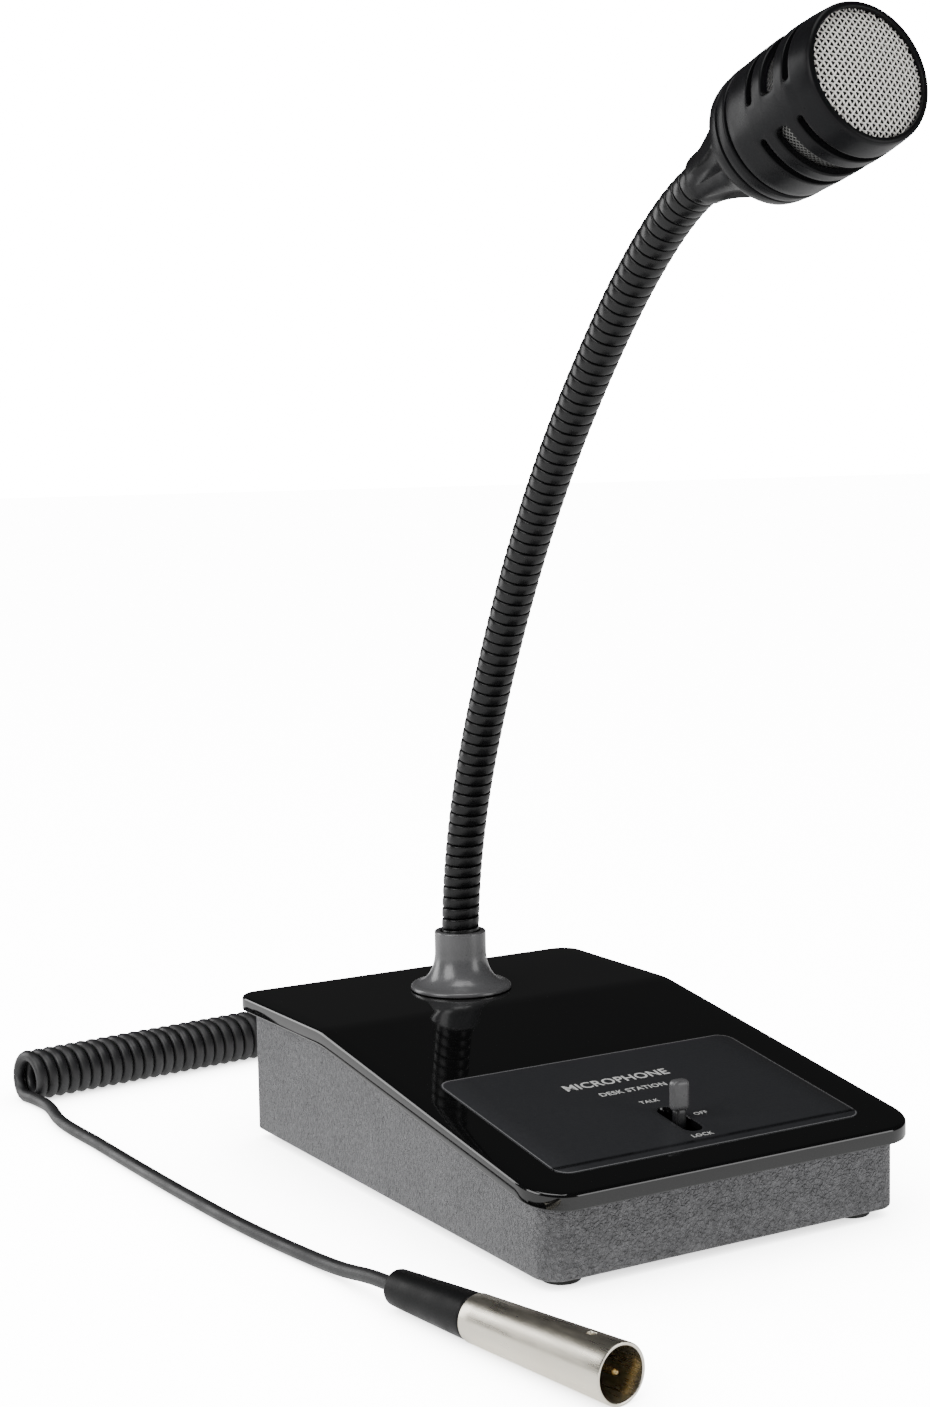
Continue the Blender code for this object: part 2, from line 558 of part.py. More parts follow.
# ---------------------------------------------------------------- lever switch
def make_switch():
    pivot = Vector(PIVOT)
    top = SWITCH_RISE
    low = -SWITCH_DROP
    half_x = SWITCH_WIDTH / 2.0
    half_y = SWITCH_LENGTH / 2.0
    place = Matrix.Translation(pivot)
    body = add_object("switch_body", box((-half_x, -half_y, low), (half_x, half_y, top)), "matt_black", place)
    cavity_x = SWITCH_CAVITY_WIDTH / 2.0
    cavity_y = SWITCH_CAVITY_LENGTH / 2.0
    cavity = box((-cavity_x, -cavity_y, low + 0.0018), (cavity_x, cavity_y, top + 0.01))
    combine(body, cutter("switch_cavity", cavity, place), "DIFFERENCE")
    across = place @ Matrix.Rotation(math.pi / 2.0, 4, "Y")
    pin_hole = rod(PIVOT_RADIUS + GAP, -0.02, 0.02)
    combine(body, cutter("switch_pin_hole", pin_hole, across), "DIFFERENCE")
    add_object("lever_pin", rod(PIVOT_RADIUS, -half_x, half_x), "steel", across)

    # the bracket lies on the switch body and hangs from two bosses of the lid
    bracket_low = BRACKET_Z - pivot.z
    bracket_high = bracket_low + BRACKET_THICKNESS
    plate = box((-BRACKET_WIDTH / 2.0, -BRACKET_LENGTH / 2.0, bracket_low),
                (BRACKET_WIDTH / 2.0, BRACKET_LENGTH / 2.0, bracket_high))
    bracket = add_object("switch_bracket", plate, "steel", place)
    window = box((-cavity_x, -cavity_y, bracket_low - 0.01), (cavity_x, cavity_y, bracket_high + 0.01))
    combine(bracket, cutter("bracket_window", window, place), "DIFFERENCE")
    bore_end = lid_top(SLOT_Y - BRACKET_SCREW_Y) - LID_PLATE / 2.0 - BORE_END_WALL
    tip = bore_end - SCREW_END_CLEARANCE - pivot.z
    for side, name in ((-1, "front"), (1, "rear")):
        spot = place @ Matrix.Translation((0.0, side * BRACKET_SCREW_Y, 0.0))
        hole = rod(SCREW_RADIUS + SCREW_CLEARANCE, bracket_low - 0.01, bracket_high + 0.01)
        combine(bracket, cutter(f"bracket_hole_{name}", hole, spot), "DIFFERENCE")
        head = bracket_low - GAP
        screw = [(0.0, head - 0.0014), (0.0026, head - 0.001), (0.0026, head), (SCREW_RADIUS, head),
                 (SCREW_RADIUS, tip - 0.0006), (0.0, tip)]
        add_object("switch_screw_" + name, turned(screw, SMALL_SIDES), "steel", spot)

    # the lever: a hub on the pin, a flat stem through the slot, and a short tail
    stem_top = PIVOT_DEPTH + PADDLE_BASE + 0.0060
    hub = rod(HUB_RADIUS, -LEVER_WIDTH / 2.0 + GAP, LEVER_WIDTH / 2.0 - GAP, 20)
    lever = add_object("switch_lever", hub, "matt_black", across, PIVOT)
    stem = box((-LEVER_WIDTH / 2.0, -LEVER_THICKNESS / 2.0, PIVOT_RADIUS + 0.001),
               (LEVER_WIDTH / 2.0, LEVER_THICKNESS / 2.0, stem_top))
    combine(lever, cutter("lever_stem", stem, place), "UNION")
    tail = box((-LEVER_WIDTH / 2.0 + 2 * GAP, -0.0012, -0.0052), (LEVER_WIDTH / 2.0 - 2 * GAP, 0.0012, -0.0025))
    combine(lever, cutter("lever_tail", tail, place), "UNION")
    combine(lever, cutter("lever_bore", rod(PIVOT_RADIUS + GAP, -0.02, 0.02), across), "DIFFERENCE")

    paddle_low = PIVOT_DEPTH + PADDLE_BASE
    paddle = add_object("lever_paddle", paddle_shape(paddle_low), "satin_black_metal", place, PIVOT)
    socket = box((-LEVER_WIDTH / 2.0 - GAP, -LEVER_THICKNESS / 2.0 + 0.0006 - GAP, paddle_low - 0.01),
                 (LEVER_WIDTH / 2.0 + GAP, LEVER_THICKNESS / 2.0 - 0.0006 + GAP, stem_top + GAP))
    combine(paddle, cutter("paddle_socket", socket, place), "DIFFERENCE")
    slim_stem = box((-LEVER_WIDTH, -LEVER_THICKNESS, paddle_low - GAP),
                    (LEVER_WIDTH, -LEVER_THICKNESS / 2.0 + 0.0006, stem_top + 0.01))
    combine(lever, cutter("stem_front_cut", slim_stem, place), "DIFFERENCE")
    slim_back = box((-LEVER_WIDTH, LEVER_THICKNESS / 2.0 - 0.0006, paddle_low - GAP),
                    (LEVER_WIDTH, LEVER_THICKNESS, stem_top + 0.01))
    combine(lever, cutter("stem_back_cut", slim_back, place), "DIFFERENCE")


def paddle_shape(low):
    """Upright paddle: a rounded oblong seen from the front, thicker at the foot."""
    half = PADDLE_WIDTH / 2.0
    outline = arc((-half + 0.0022, low + PADDLE_HEIGHT - 0.0022), 0.0022, 180, 90, 5)
    outline += arc((half - 0.0022, low + PADDLE_HEIGHT - 0.0022), 0.0022, 90, 0, 5)
    outline += arc((half - 0.0014, low + 0.0014), 0.0014, 0, -90, 4)
    outline += arc((-half + 0.0014, low + 0.0014), 0.0014, -90, -180, 4)
    shape = bmesh.new()
    half_depth = PADDLE_DEPTH / 2.0
    layers = []
    for y, shrink in ((-half_depth, 0.82), (-half_depth + 0.0006, 1.0), (half_depth - 0.0006, 1.0), (half_depth, 0.82)):
        middle = low + PADDLE_HEIGHT / 2.0
        layers.append([shape.verts.new((x * shrink, y, middle + (z - middle) * (0.5 + 0.5 * shrink)))
                       for x, z in outline])
    for near, far in zip(layers, layers[1:]):
        for i in range(len(outline)):
            j = (i + 1) % len(outline)
            shape.faces.new((near[i], near[j], far[j], far[i]))
    shape.faces.new(layers[0])
    shape.faces.new(layers[-1][::-1])
    return shape


# ---------------------------------------------------------------- neck
def smooth_value(x, stations):
    """Cubic curve through (x, value) stations, its slope at each taken from its neighbours."""
    xs = np.array([s[0] for s in stations])
    ys = np.array([s[1] for s in stations])
    slopes = np.gradient(ys, xs)
    i = int(np.clip(np.searchsorted(xs, x) - 1, 0, len(xs) - 2))
    h = xs[i + 1] - xs[i]
    t = (x - xs[i]) / h
    return ((2 * t**3 - 3 * t**2 + 1) * ys[i] + (t**3 - 2 * t**2 + t) * h * slopes[i]
            + (-2 * t**3 + 3 * t**2) * ys[i + 1] + (t**3 - t**2) * h * slopes[i + 1])


NECK_LENGTH = NECK_TURNS[-1][0]
NECK_STEPS = 714
NECK_BOTTOM_Z = LID_REAR_Z + GAP + COLLAR_SEAT + GAP


def neck_path():
    """Distance, Y, Z and lean (radians) along the neck's centre line, added up in short steps."""
    distance = np.linspace(0.0, NECK_LENGTH, NECK_STEPS + 1)
    lean = np.radians([smooth_value(d, NECK_TURNS) for d in distance])
    step = distance[1]
    y = NECK_Y + BASE_Y - np.concatenate(([0.0], np.cumsum((np.sin(lean[1:]) + np.sin(lean[:-1])) / 2.0 * step)))
    z = NECK_BOTTOM_Z + np.concatenate(([0.0], np.cumsum((np.cos(lean[1:]) + np.cos(lean[:-1])) / 2.0 * step)))
    return distance, y, z, lean


DISTANCE, PATH_Y, PATH_Z, PATH_LEAN = neck_path()


def neck_frame(distance):
    """Frame on the neck's centre line: Z along the neck, X across, Y to the back of the bend."""
    y = float(np.interp(distance, DISTANCE, PATH_Y))
    z = float(np.interp(distance, DISTANCE, PATH_Z))
    lean = float(np.interp(distance, DISTANCE, PATH_LEAN))
    return Matrix.Translation((0.0, y, z)) @ Matrix.Rotation(lean, 4, "X")


def neck_segment(start, end, cone_start, cone_end):
    """Bent tube from start to end; a coned end leaves room for its joint to swing."""
    shape = bmesh.new()
    rise = math.tan(math.radians(JOINT_SWING) / 2.0)
    sides = 16

    def ring(distance, radius, shift):
        frame = neck_frame(distance) @ Matrix.Translation((0.0, 0.0, shift))
        turns = [2.0 * math.pi * i / sides for i in range(sides)]
        return [shape.verts.new(frame @ Vector((radius * math.cos(t), radius * math.sin(t), 0.0))) for t in turns]

    count = 4 if cone_end else 8
    low_out = NECK_RADIUS * rise if cone_start else 0.0
    low_in = NECK_BORE * rise if cone_start else 0.0
    high_out = NECK_RADIUS * rise if cone_end else 0.0
    high_in = NECK_BORE * rise if cone_end else 0.0
    places = np.linspace(start, end, count)
    outer = [ring(d, NECK_RADIUS, low_out if k == 0 else (-high_out if k == count - 1 else 0.0))
             for k, d in enumerate(places)]
    inner = [ring(d, NECK_BORE, low_in if k == 0 else (-high_in if k == count - 1 else 0.0))
             for k, d in enumerate(places)]
    loops = outer + inner[::-1]
    for lower, upper in zip(loops, loops[1:] + loops[:1]):
        for i in range(sides):
            j = (i + 1) % sides
            shape.faces.new((lower[i], lower[j], upper[j], upper[i]))
    return shape


def make_neck():
    joints = [FIRST_JOINT + k * JOINT_SPACING for k in range(NECK_JOINTS)]
    starts = [0.0] + [d + GAP / 2.0 for d in joints]
    ends = [d - GAP / 2.0 for d in joints] + [NECK_LENGTH]
    for k, (start, end) in enumerate(zip(starts, ends)):
        shape = neck_segment(start, end, k > 0, k < NECK_JOINTS)
        pivot = (0.0, 0.0, 0.0) if k == 0 else tuple(neck_frame(joints[k - 1]).translation)
        add_object(f"neck_segment_{k + 1}", shape, "satin_black_metal", None, pivot)


def collar_flare(count=6):
    """Concave quarter ellipse from the flange up to the straight top."""
    flange = LID_REAR_Z + GAP + COLLAR_FLANGE
    straight = LID_REAR_Z + GAP + COLLAR_HEIGHT - COLLAR_STRAIGHT
    reach = COLLAR_FLANGE_RADIUS - 0.001 - COLLAR_TOP_RADIUS
    return [(COLLAR_TOP_RADIUS + reach * (1.0 - math.sin(a)), straight - (straight - flange) * math.cos(a))
            for a in np.radians(np.linspace(0, 90, count))]


def make_collar_and_stud():
    seat = LID_REAR_Z + GAP
    top = seat + COLLAR_HEIGHT
    hole = STUD_RADIUS + SCREW_CLEARANCE
    outline = [(hole, seat), (COLLAR_FLANGE_RADIUS, seat), (COLLAR_FLANGE_RADIUS, seat + COLLAR_FLANGE - 0.0008)]
    outline += collar_flare()
    outline += [(COLLAR_TOP_RADIUS, top - 0.0004), (COLLAR_TOP_RADIUS - 0.0004, top), (COLLAR_BORE, top),
                (COLLAR_BORE, seat + COLLAR_SEAT), (hole, seat + COLLAR_SEAT)]
    place = at_base(0.0, NECK_Y)
    add_object("neck_collar", turned(outline), "satin_black_metal", place)
    stud = tube(STUD_RADIUS, STUD_BORE, LID_REAR_Z - STUD_BELOW, seat + COLLAR_SEAT - GAP)
    add_object("neck_stud", stud, "steel", place)
    washer_top = LID_REAR_Z - LID_PLATE - GAP
    washer_low = washer_top - WASHER_THICKNESS
    add_object("lock_washer", tube(WASHER_RADIUS, hole, washer_low, washer_top), "steel", place)
    nut = tube(NUT_RADIUS, hole, washer_low - GAP - NUT_THICKNESS, washer_low - GAP, 24)
    for vert in nut.verts:
        if vert.co.xy.length > STUD_RADIUS * 1.3:
            turn = math.atan2(vert.co.y, vert.co.x)
            flat = NUT_RADIUS * math.cos(math.pi / 6.0) / math.cos((turn % (math.pi / 3.0)) - math.pi / 6.0)
            vert.co.xy = Vector((math.cos(turn), math.sin(turn))) * flat
    add_object("stud_nut", nut, "steel", place)


# ---------------------------------------------------------------- head
def head_frame():
    """Frame at the middle of the front rim; Z runs back along the head's axis."""
    end = neck_frame(NECK_LENGTH)
    front = end @ Matrix.Translation((0.0, 0.0, HEAD_LENGTH - SOCKET_DEPTH + GAP))
    return front @ Matrix.Rotation(math.pi, 4, "Y")


def ring_sector(inner, outer, low, high, centre, span, steps=10):
    """Part of a ring about Z, between two angles in degrees, used to cut a slot."""
    angles = np.radians(np.linspace(centre - span / 2.0, centre + span / 2.0, steps))
    outline = [(outer * math.cos(a), outer * math.sin(a)) for a in angles]
    outline += [(inner * math.cos(a), inner * math.sin(a)) for a in angles[::-1]]
    return extruded(outline, low, high)


def make_barrel(place):
    outline = [(LIP_RADIUS, 0.0)] + [(r, s) for s, r in BARREL_OUTLINE]
    outline += [(BARREL_BORE, BARREL_END), (BARREL_BORE, LIP_LENGTH), (LIP_RADIUS, LIP_LENGTH)]
    barrel = add_object("head_barrel", turned(outline, 36), "matt_black", place)
    for row, (middle, width) in enumerate(SLOT_ROWS):
        for k, centre in enumerate(SLOT_CENTRES):
            sector = ring_sector(BARREL_BORE - 0.002, BARREL_BORE + 0.006, middle - width / 2.0,
                                 middle + width / 2.0, centre, SLOT_SPAN)
            combine(barrel, cutter(f"barrel_slot_{row}_{k}", sector, place), "DIFFERENCE")


def flute(turn, radius, height):
    """Six shallow scoops round the cone, deepest midway along it."""
    start = CAP_END - RING_END - GROOVE + 0.002
    length = HEAD_LENGTH - RING_END - GROOVE - start - 0.003
    along = (height - start) / length
    if radius < SOCKET_RADIUS + GAP or not 0.0 < along < 1.0:
        return radius
    wave = max(0.0, math.cos(FLUTES * (turn - math.radians(45.0)))) ** 1.5
    return radius - FLUTE_DEPTH * wave * math.sin(math.pi * along)


def make_rear_of_head(place):
    start = BARREL_END + GROOVE
    end = RING_END
    bevel = [0.0, 0.0005, end - start - 0.0005, end - start]
    outline = [(RING_BORE, start)] + [(r, start + d) for r, d in zip(RING_OUTLINE, bevel)] + [(RING_BORE, end)]
    add_object("clamp_ring", turned(outline, 36), "matt_black", place)

    start = RING_END + GROOVE
    length = HEAD_LENGTH - start
    outline = [(0.014, 0.0)] + [(r, d) for d, r in CAP_RIM]
    outline += [(CAP_END_RADIUS + more, d) for d, more in CAP_CONE] + [(CAP_END_RADIUS, length)]
    outline += [(SOCKET_RADIUS, length), (SOCKET_RADIUS, length - SOCKET_DEPTH), (CABLE_BORE, length - SOCKET_DEPTH),
                (CABLE_BORE, 0.016), (0.014, 0.004)]
    cap = turned(outline, 36, flute)
    add_object("head_rear_cap", cap, "matt_black", place @ Matrix.Translation((0.0, 0.0, start)))


def grille_shape(radius):
    """Thin dome: its height falls off with the square of the distance from the middle."""
    rings = 4

    def dome(r, lift):
        return LIP_LENGTH + GAP + lift - GRILLE_DOME * (1.0 - (r / radius) ** 2)

    spread = [radius * k / rings for k in range(rings + 1)]
    profile = [(r, dome(r, 0.0)) for r in spread]
    profile += [(r, dome(r, GRILLE_THICKNESS)) for r in spread[::-1]]
    return turned(profile, SIDES)


def make_inside_of_head(place):
    fit = BARREL_BORE - GAP
    add_object("front_grille", grille_shape(fit), "woven_steel", place)
    low = LIP_LENGTH + GAP + GRILLE_THICKNESS + GAP
    add_object("grille_retainer", tube(fit, fit - RETAINER_WIDTH, low, low + RETAINER_LENGTH), "matt_black", place)
    low += RETAINER_LENGTH + GAP
    add_object("front_foam", rod(fit, low, low + FOAM_THICKNESS, SIDES), "foam", place)
    screen = tube(fit, fit - SCREEN_WALL, SCREEN_FRONT, SCREEN_REAR)
    add_object("slot_screen", screen, "woven_steel", place)
    capsule_end = CAPSULE_FRONT + CAPSULE_LENGTH
    capsule = [(0.0, CAPSULE_FRONT), (CAPSULE_RADIUS, CAPSULE_FRONT), (CAPSULE_RADIUS, capsule_end),
               (MAGNET_RADIUS, capsule_end), (MAGNET_RADIUS, capsule_end + MAGNET_LENGTH),
               (0.0, capsule_end + MAGNET_LENGTH)]
    add_object("mic_capsule", turned(capsule), "steel", place)
    shock = tube(fit - SCREEN_WALL - GAP, CAPSULE_RADIUS + GAP, SHOCK_FRONT, SHOCK_FRONT + SHOCK_LENGTH)
    add_object("capsule_shock_ring", shock, "black_rubber", place)


# ---------------------------------------------------------------- cord and plug
def gland_frame():
    """Frame on the outside of the back wall; Z points straight out of it."""
    return at_base(GLAND_X, REAR_WALL_Y, GLAND_Z) @ Matrix.Rotation(-math.pi / 2.0, 4, "X")


def make_gland():
    out = GAP
    inside = -HOUSING_WALL - GAP
    profile = [(0.0, inside - GLAND_FLANGE), (GLAND_FLANGE_RADIUS, inside - GLAND_FLANGE),
               (GLAND_FLANGE_RADIUS, inside), (GLAND_NECK_RADIUS, inside), (GLAND_NECK_RADIUS, out),
               (GLAND_FLANGE_RADIUS, out), (GLAND_FLANGE_RADIUS, out + GLAND_FLANGE),
               (GLAND_NECK_RADIUS, out + GLAND_FLANGE + 0.0008),
               (GLAND_TIP_RADIUS, out + GLAND_FLANGE + GLAND_TAPER), (0.0, out + GLAND_FLANGE + GLAND_TAPER)]
    add_object("cord_gland", turned(profile, 20), "black_rubber", gland_frame())


def smooth_route(points, spacing):
    """Points a steady distance apart on a smooth curve through the route's own points."""
    route = np.array(points)
    run = np.concatenate(([0.0], np.cumsum(np.linalg.norm(np.diff(route, axis=0), axis=1))))
    slopes = np.gradient(route, run, axis=0)
    count = int(round(run[-1] / spacing)) + 1
    samples = []
    for d in np.linspace(0.0, run[-1], count):
        i = int(np.clip(np.searchsorted(run, d) - 1, 0, len(run) - 2))
        h = run[i + 1] - run[i]
        t = (d - run[i]) / h
        samples.append((2 * t**3 - 3 * t**2 + 1) * route[i] + (t**3 - 2 * t**2 + t) * h * slopes[i]
                       + (-2 * t**3 + 3 * t**2) * route[i + 1] + (t**3 - t**2) * h * slopes[i + 1])
    return samples


def cord_tube(name, points):
    curve = bpy.data.curves.new(name, "CURVE")
    curve.dimensions = "3D"
    curve.bevel_depth = CORD_RADIUS
    curve.bevel_resolution = 2
    curve.use_fill_caps = True
    spline = curve.splines.new("POLY")
    spline.points.add(len(points) - 1)
    for spot, (x, y, z) in zip(spline.points, points):
        spot.co = (x, y, z, 1.0)
    obj = bpy.data.objects.new(name, curve)
    bpy.context.collection.objects.link(obj)
    return finish(obj, "black_rubber")


def plug_frame():
    """Frame at the boot's rear; Z runs along the plug towards its mouth. The shell lies on the desk."""
    tilt = math.atan((MOUTH_RADIUS - SHELL_REAR_RADIUS) / SHELL_LENGTH)
    heading = math.radians(PLUG_HEADING)
    rear_z = SHELL_REAR_RADIUS * math.cos(tilt) - (BOOT_LENGTH + GAP) * math.sin(tilt) + 0.0001
    forward = Vector((math.sin(heading) * math.cos(tilt), -math.cos(heading) * math.cos(tilt), math.sin(tilt)))
    side = forward.cross(Vector((0.0, 0.0, 1.0))).normalized()
    up = side.cross(forward).normalized()
    frame = Matrix((side, up, forward)).transposed().to_4x4()
    frame.translation = Vector((PLUG_REAR[0], PLUG_REAR[1] + BASE_Y, rear_z))
    return frame


def make_plug():
    place = plug_frame()
    boot = [(0.0, 0.0), (BOOT_REAR_RADIUS - 0.0005, 0.0), (BOOT_REAR_RADIUS, 0.0006),
            (BOOT_FRONT_RADIUS, BOOT_LENGTH), (0.0, BOOT_LENGTH)]
    add_object("plug_boot", turned(boot), "black_rubber", place)
    start = BOOT_LENGTH + GAP
    mouth = start + SHELL_LENGTH
    growth = (MOUTH_RADIUS - SHELL_REAR_RADIUS) / SHELL_LENGTH
    bore_rear = SHELL_REAR_RADIUS - SHELL_WALL
    bore_mouth = MOUTH_RADIUS - SHELL_WALL
    shell = [(bore_rear, start), (SHELL_REAR_RADIUS - 0.0003, start), (SHELL_REAR_RADIUS, start + 0.0004),
             (MOUTH_RADIUS - 0.0001, mouth - 0.0006), (MOUTH_RADIUS - 0.0006, mouth), (bore_mouth, mouth)]
    body = add_object("plug_shell", turned(shell), "nickel", place)
    notch_at = mouth - NOTCH_FROM_MOUTH
    notch = rod(NOTCH_RADIUS, MOUTH_RADIUS - 2.5 * SHELL_WALL, MOUTH_RADIUS + 0.01)
    notch_place = place @ Matrix.Translation((0.0, 0.0, notch_at)) @ Matrix.Rotation(-math.pi / 2.0, 4, "X")
    combine(body, cutter("shell_notch", notch, notch_place), "DIFFERENCE")

    def bore_at(depth):
        return bore_mouth - growth * depth

    insert_front = mouth - INSERT_DEPTH
    insert_rear = insert_front - INSERT_LENGTH
    fit = bore_at(INSERT_DEPTH + INSERT_LENGTH) - GAP
    insert = add_object("plug_insert", rod(fit, insert_rear, insert_front, SIDES), "matt_black", place)
    for k in range(3):
        turn = math.radians(90.0 + 120.0 * k)
        spot = place @ Matrix.Translation((PIN_CIRCLE * math.cos(turn), PIN_CIRCLE * math.sin(turn), 0.0))
        hole = rod(PIN_RADIUS + GAP, insert_front - 0.006, insert_front + 0.01)
        combine(insert, cutter(f"pin_hole_{k}", hole, spot), "DIFFERENCE")
        pin = turned([(0.0, insert_front - 0.0055), (PIN_RADIUS, insert_front - 0.0055),
                      (PIN_RADIUS, insert_front + PIN_LENGTH - 0.0008),
                      (PIN_RADIUS * 0.5, insert_front + PIN_LENGTH), (0.0, insert_front + PIN_LENGTH)], 10)
        add_object(f"plug_pin_{k + 1}", pin, "brass", spot)


def coil_frame():
    """Frame on the desk under the coil's left end; X runs along the coil and Y to its back."""
    place = Matrix.Translation((COIL_LEFT[0], COIL_LEFT[1] + BASE_Y, 0.0))
    return place @ Matrix.Rotation(math.radians(COIL_HEADING), 4, "Z")


def make_cord():
    coil = coil_frame()
    across = Matrix.Translation((0.0, 0.0, COIL_RADIUS)) @ Matrix.Rotation(math.pi / 2.0, 4, "Y")
    add_object("cord_coil", rod(COIL_RADIUS, 0.0, COIL_LENGTH, 24), "black_rubber", coil @ across)
    beside = CORD_RADIUS + GAP
    floor = CORD_RADIUS + 0.0003
    top = 2.0 * COIL_RADIUS - CORD_RADIUS
    tip = gland_frame() @ Vector((0.0, 0.0, GAP + GLAND_FLANGE + GLAND_TAPER + GAP))
    lead = [tuple(tip), (tip.x + 0.0008, tip.y + 0.012, tip.z - 0.0015), (tip.x + 0.0060, tip.y + 0.032, 0.0115),
            (tip.x + 0.0130, tip.y + 0.052, 0.0078), tuple(coil @ Vector((COIL_LENGTH + beside, -0.018, 0.0122))),
            tuple(coil @ Vector((COIL_LENGTH + beside, 0.0, top)))]
    cord_tube("cord_lead", smooth_route(lead, CORD_POINT_SPACING))
    rear = plug_frame() @ Vector((0.0, 0.0, -GAP))
    approach = plug_frame() @ Vector((0.0, 0.0, -0.012))
    tail = [tuple(coil @ Vector((-beside, 0.0, floor))), tuple(coil @ Vector((-beside, -0.020, floor))),
            (-0.1379, BASE_Y + 0.167, floor), (-0.1370, BASE_Y + 0.125, floor), (-0.1360, BASE_Y + 0.086, floor),
            (-0.1344, BASE_Y + 0.045, floor), (-0.1318, BASE_Y + 0.004, floor), (-0.1275, BASE_Y - 0.032, floor),
            (-0.1243, BASE_Y - 0.060, floor + 0.0012), tuple(approach), tuple(rear)]
    cord_tube("cord_tail", smooth_route(tail, CORD_POINT_SPACING))


def build():
    clear_scene()
    make_top_cover()
    make_lower_housing()
    make_feet_and_cover_screws()
    make_label()
    make_ballast()
    make_electronics()
    make_switch()
    make_collar_and_stud()
    make_neck()
    place = head_frame()
    make_barrel(place)
    make_rear_of_head(place)
    make_inside_of_head(place)
    make_gland()
    make_cord()
    make_plug()


build()
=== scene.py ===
import json
import math

import bmesh
import bpy
import numpy as np
from mathutils import Matrix, Vector


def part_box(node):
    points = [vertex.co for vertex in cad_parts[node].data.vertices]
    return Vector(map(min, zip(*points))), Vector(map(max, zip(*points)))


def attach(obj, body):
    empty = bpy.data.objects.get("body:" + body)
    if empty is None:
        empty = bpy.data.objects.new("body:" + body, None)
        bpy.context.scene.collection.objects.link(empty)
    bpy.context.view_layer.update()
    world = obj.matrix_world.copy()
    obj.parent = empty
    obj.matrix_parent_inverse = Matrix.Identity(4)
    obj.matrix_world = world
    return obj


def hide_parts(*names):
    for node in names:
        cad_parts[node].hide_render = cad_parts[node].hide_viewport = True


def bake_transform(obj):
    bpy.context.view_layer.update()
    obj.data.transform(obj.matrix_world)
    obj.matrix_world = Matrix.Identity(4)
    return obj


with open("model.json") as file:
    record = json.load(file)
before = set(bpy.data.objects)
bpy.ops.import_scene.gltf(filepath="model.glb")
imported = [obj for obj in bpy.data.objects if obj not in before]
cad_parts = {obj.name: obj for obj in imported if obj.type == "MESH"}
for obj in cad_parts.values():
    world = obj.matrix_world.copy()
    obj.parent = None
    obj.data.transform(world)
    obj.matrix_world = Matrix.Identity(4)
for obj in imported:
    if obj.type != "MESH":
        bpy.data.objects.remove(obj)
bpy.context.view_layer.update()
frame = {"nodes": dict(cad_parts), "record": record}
nodes = frame["nodes"]

# ---------------------------------------------------------------- viewpoint
# Someone standing at the desk's left front corner looks slightly down at the microphone.
# The middle of the base, which most places are measured from, comes from its cover.
cover_low, cover_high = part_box("top_cover")
base_y = (cover_low.y + cover_high.y) / 2.0
neck_y = base_y + 0.0718

yaw, pitch, roll = np.radians((-30.34, 6.17, -1.003))
back = Vector((math.sin(yaw) * math.cos(pitch), -math.cos(yaw) * math.cos(pitch), math.sin(pitch)))
right = Vector((math.cos(yaw), math.sin(yaw), 0.0))
up = back.cross(right)
level_right = right * math.cos(roll) + up * math.sin(roll)
level_up = up * math.cos(roll) - right * math.sin(roll)
view_frame = Matrix((level_right, level_up, back)).transposed().to_4x4()
view_frame.translation = Vector((-0.4748, base_y - 0.7465, 0.277))
lens = bpy.data.cameras.new("viewpoint")
lens.sensor_width = 36.0
lens.lens = 60.72
viewpoint = bpy.data.objects.new("viewpoint", lens)
viewpoint.matrix_world = view_frame
bpy.context.scene.collection.objects.link(viewpoint)
bpy.context.scene.camera = viewpoint


# ---------------------------------------------------------------- studio light and paper
# Large soft boxes on the left, behind on the left, overhead and a weak one at the right; the piece
# stands on white paper that stays white to the eye while it lights the black piece only gently.
class Signal:
    """One output in a material: arithmetic on it adds Math nodes, and make() adds any other node."""

    def __init__(self, tree, socket=None):
        self.tree = tree
        self.socket = socket

    def make(self, kind, settings, values, output=0):
        node = self.tree.nodes.new(kind)
        for key, value in settings.items():
            setattr(node, key, value)
        for key, value in values.items():
            if isinstance(value, Signal):
                self.tree.links.new(value.socket, node.inputs[key])
            else:
                node.inputs[key].default_value = value
        return Signal(self.tree, node.outputs[output])

    def maths(self, operation, *values):
        return self.make("ShaderNodeMath", {"operation": operation}, dict(enumerate(values)))

    def __add__(self, other):
        return self.maths("ADD", self, other)

    def __mul__(self, other):
        return self.maths("MULTIPLY", self, other)

    def __sub__(self, other):
        return self.maths("SUBTRACT", self, other)

    def __rsub__(self, other):
        return self.maths("SUBTRACT", other, self)

    def __pow__(self, other):
        return self.maths("POWER", self, other)

    def into(self, node, socket):
        self.tree.links.new(self.socket, node.inputs[socket])


def new_finish(name, colour, roughness, metallic=0.0, **others):
    """A material with one Principled shader, whose even values are set on the shader itself.

    Returns the material, the shader and a Signal of the piece's own Object coordinates.
    """
    material = bpy.data.materials.new(name)
    material.use_nodes = True
    shader = material.node_tree.nodes["Principled BSDF"]
    shader.inputs["Base Color"].default_value = (*colour, 1.0)
    shader.inputs["Roughness"].default_value = roughness
    shader.inputs["Metallic"].default_value = metallic
    for key, value in others.items():
        shader.inputs[key.replace("_", " ")].default_value = value
    place = Signal(material.node_tree).make("ShaderNodeTexCoord", {}, {}, 3)
    return material, shader, place


def noise(place, scale, detail=3.0, roughness=0.5):
    return place.make("ShaderNodeTexNoise", {}, {"Vector": place, "Scale": scale, "Detail": detail,
                                                 "Roughness": roughness})


def between(signal, low, high):
    """Carries a signal of about 0.3 to 0.7, as noise gives, to low to high."""
    return (signal - 0.3) * ((high - low) / 0.4) + low


def add_bump(shader, height, strength, distance):
    height.make("ShaderNodeBump", {}, {"Height": height, "Strength": strength,
                                       "Distance": distance}).into(shader, "Normal")


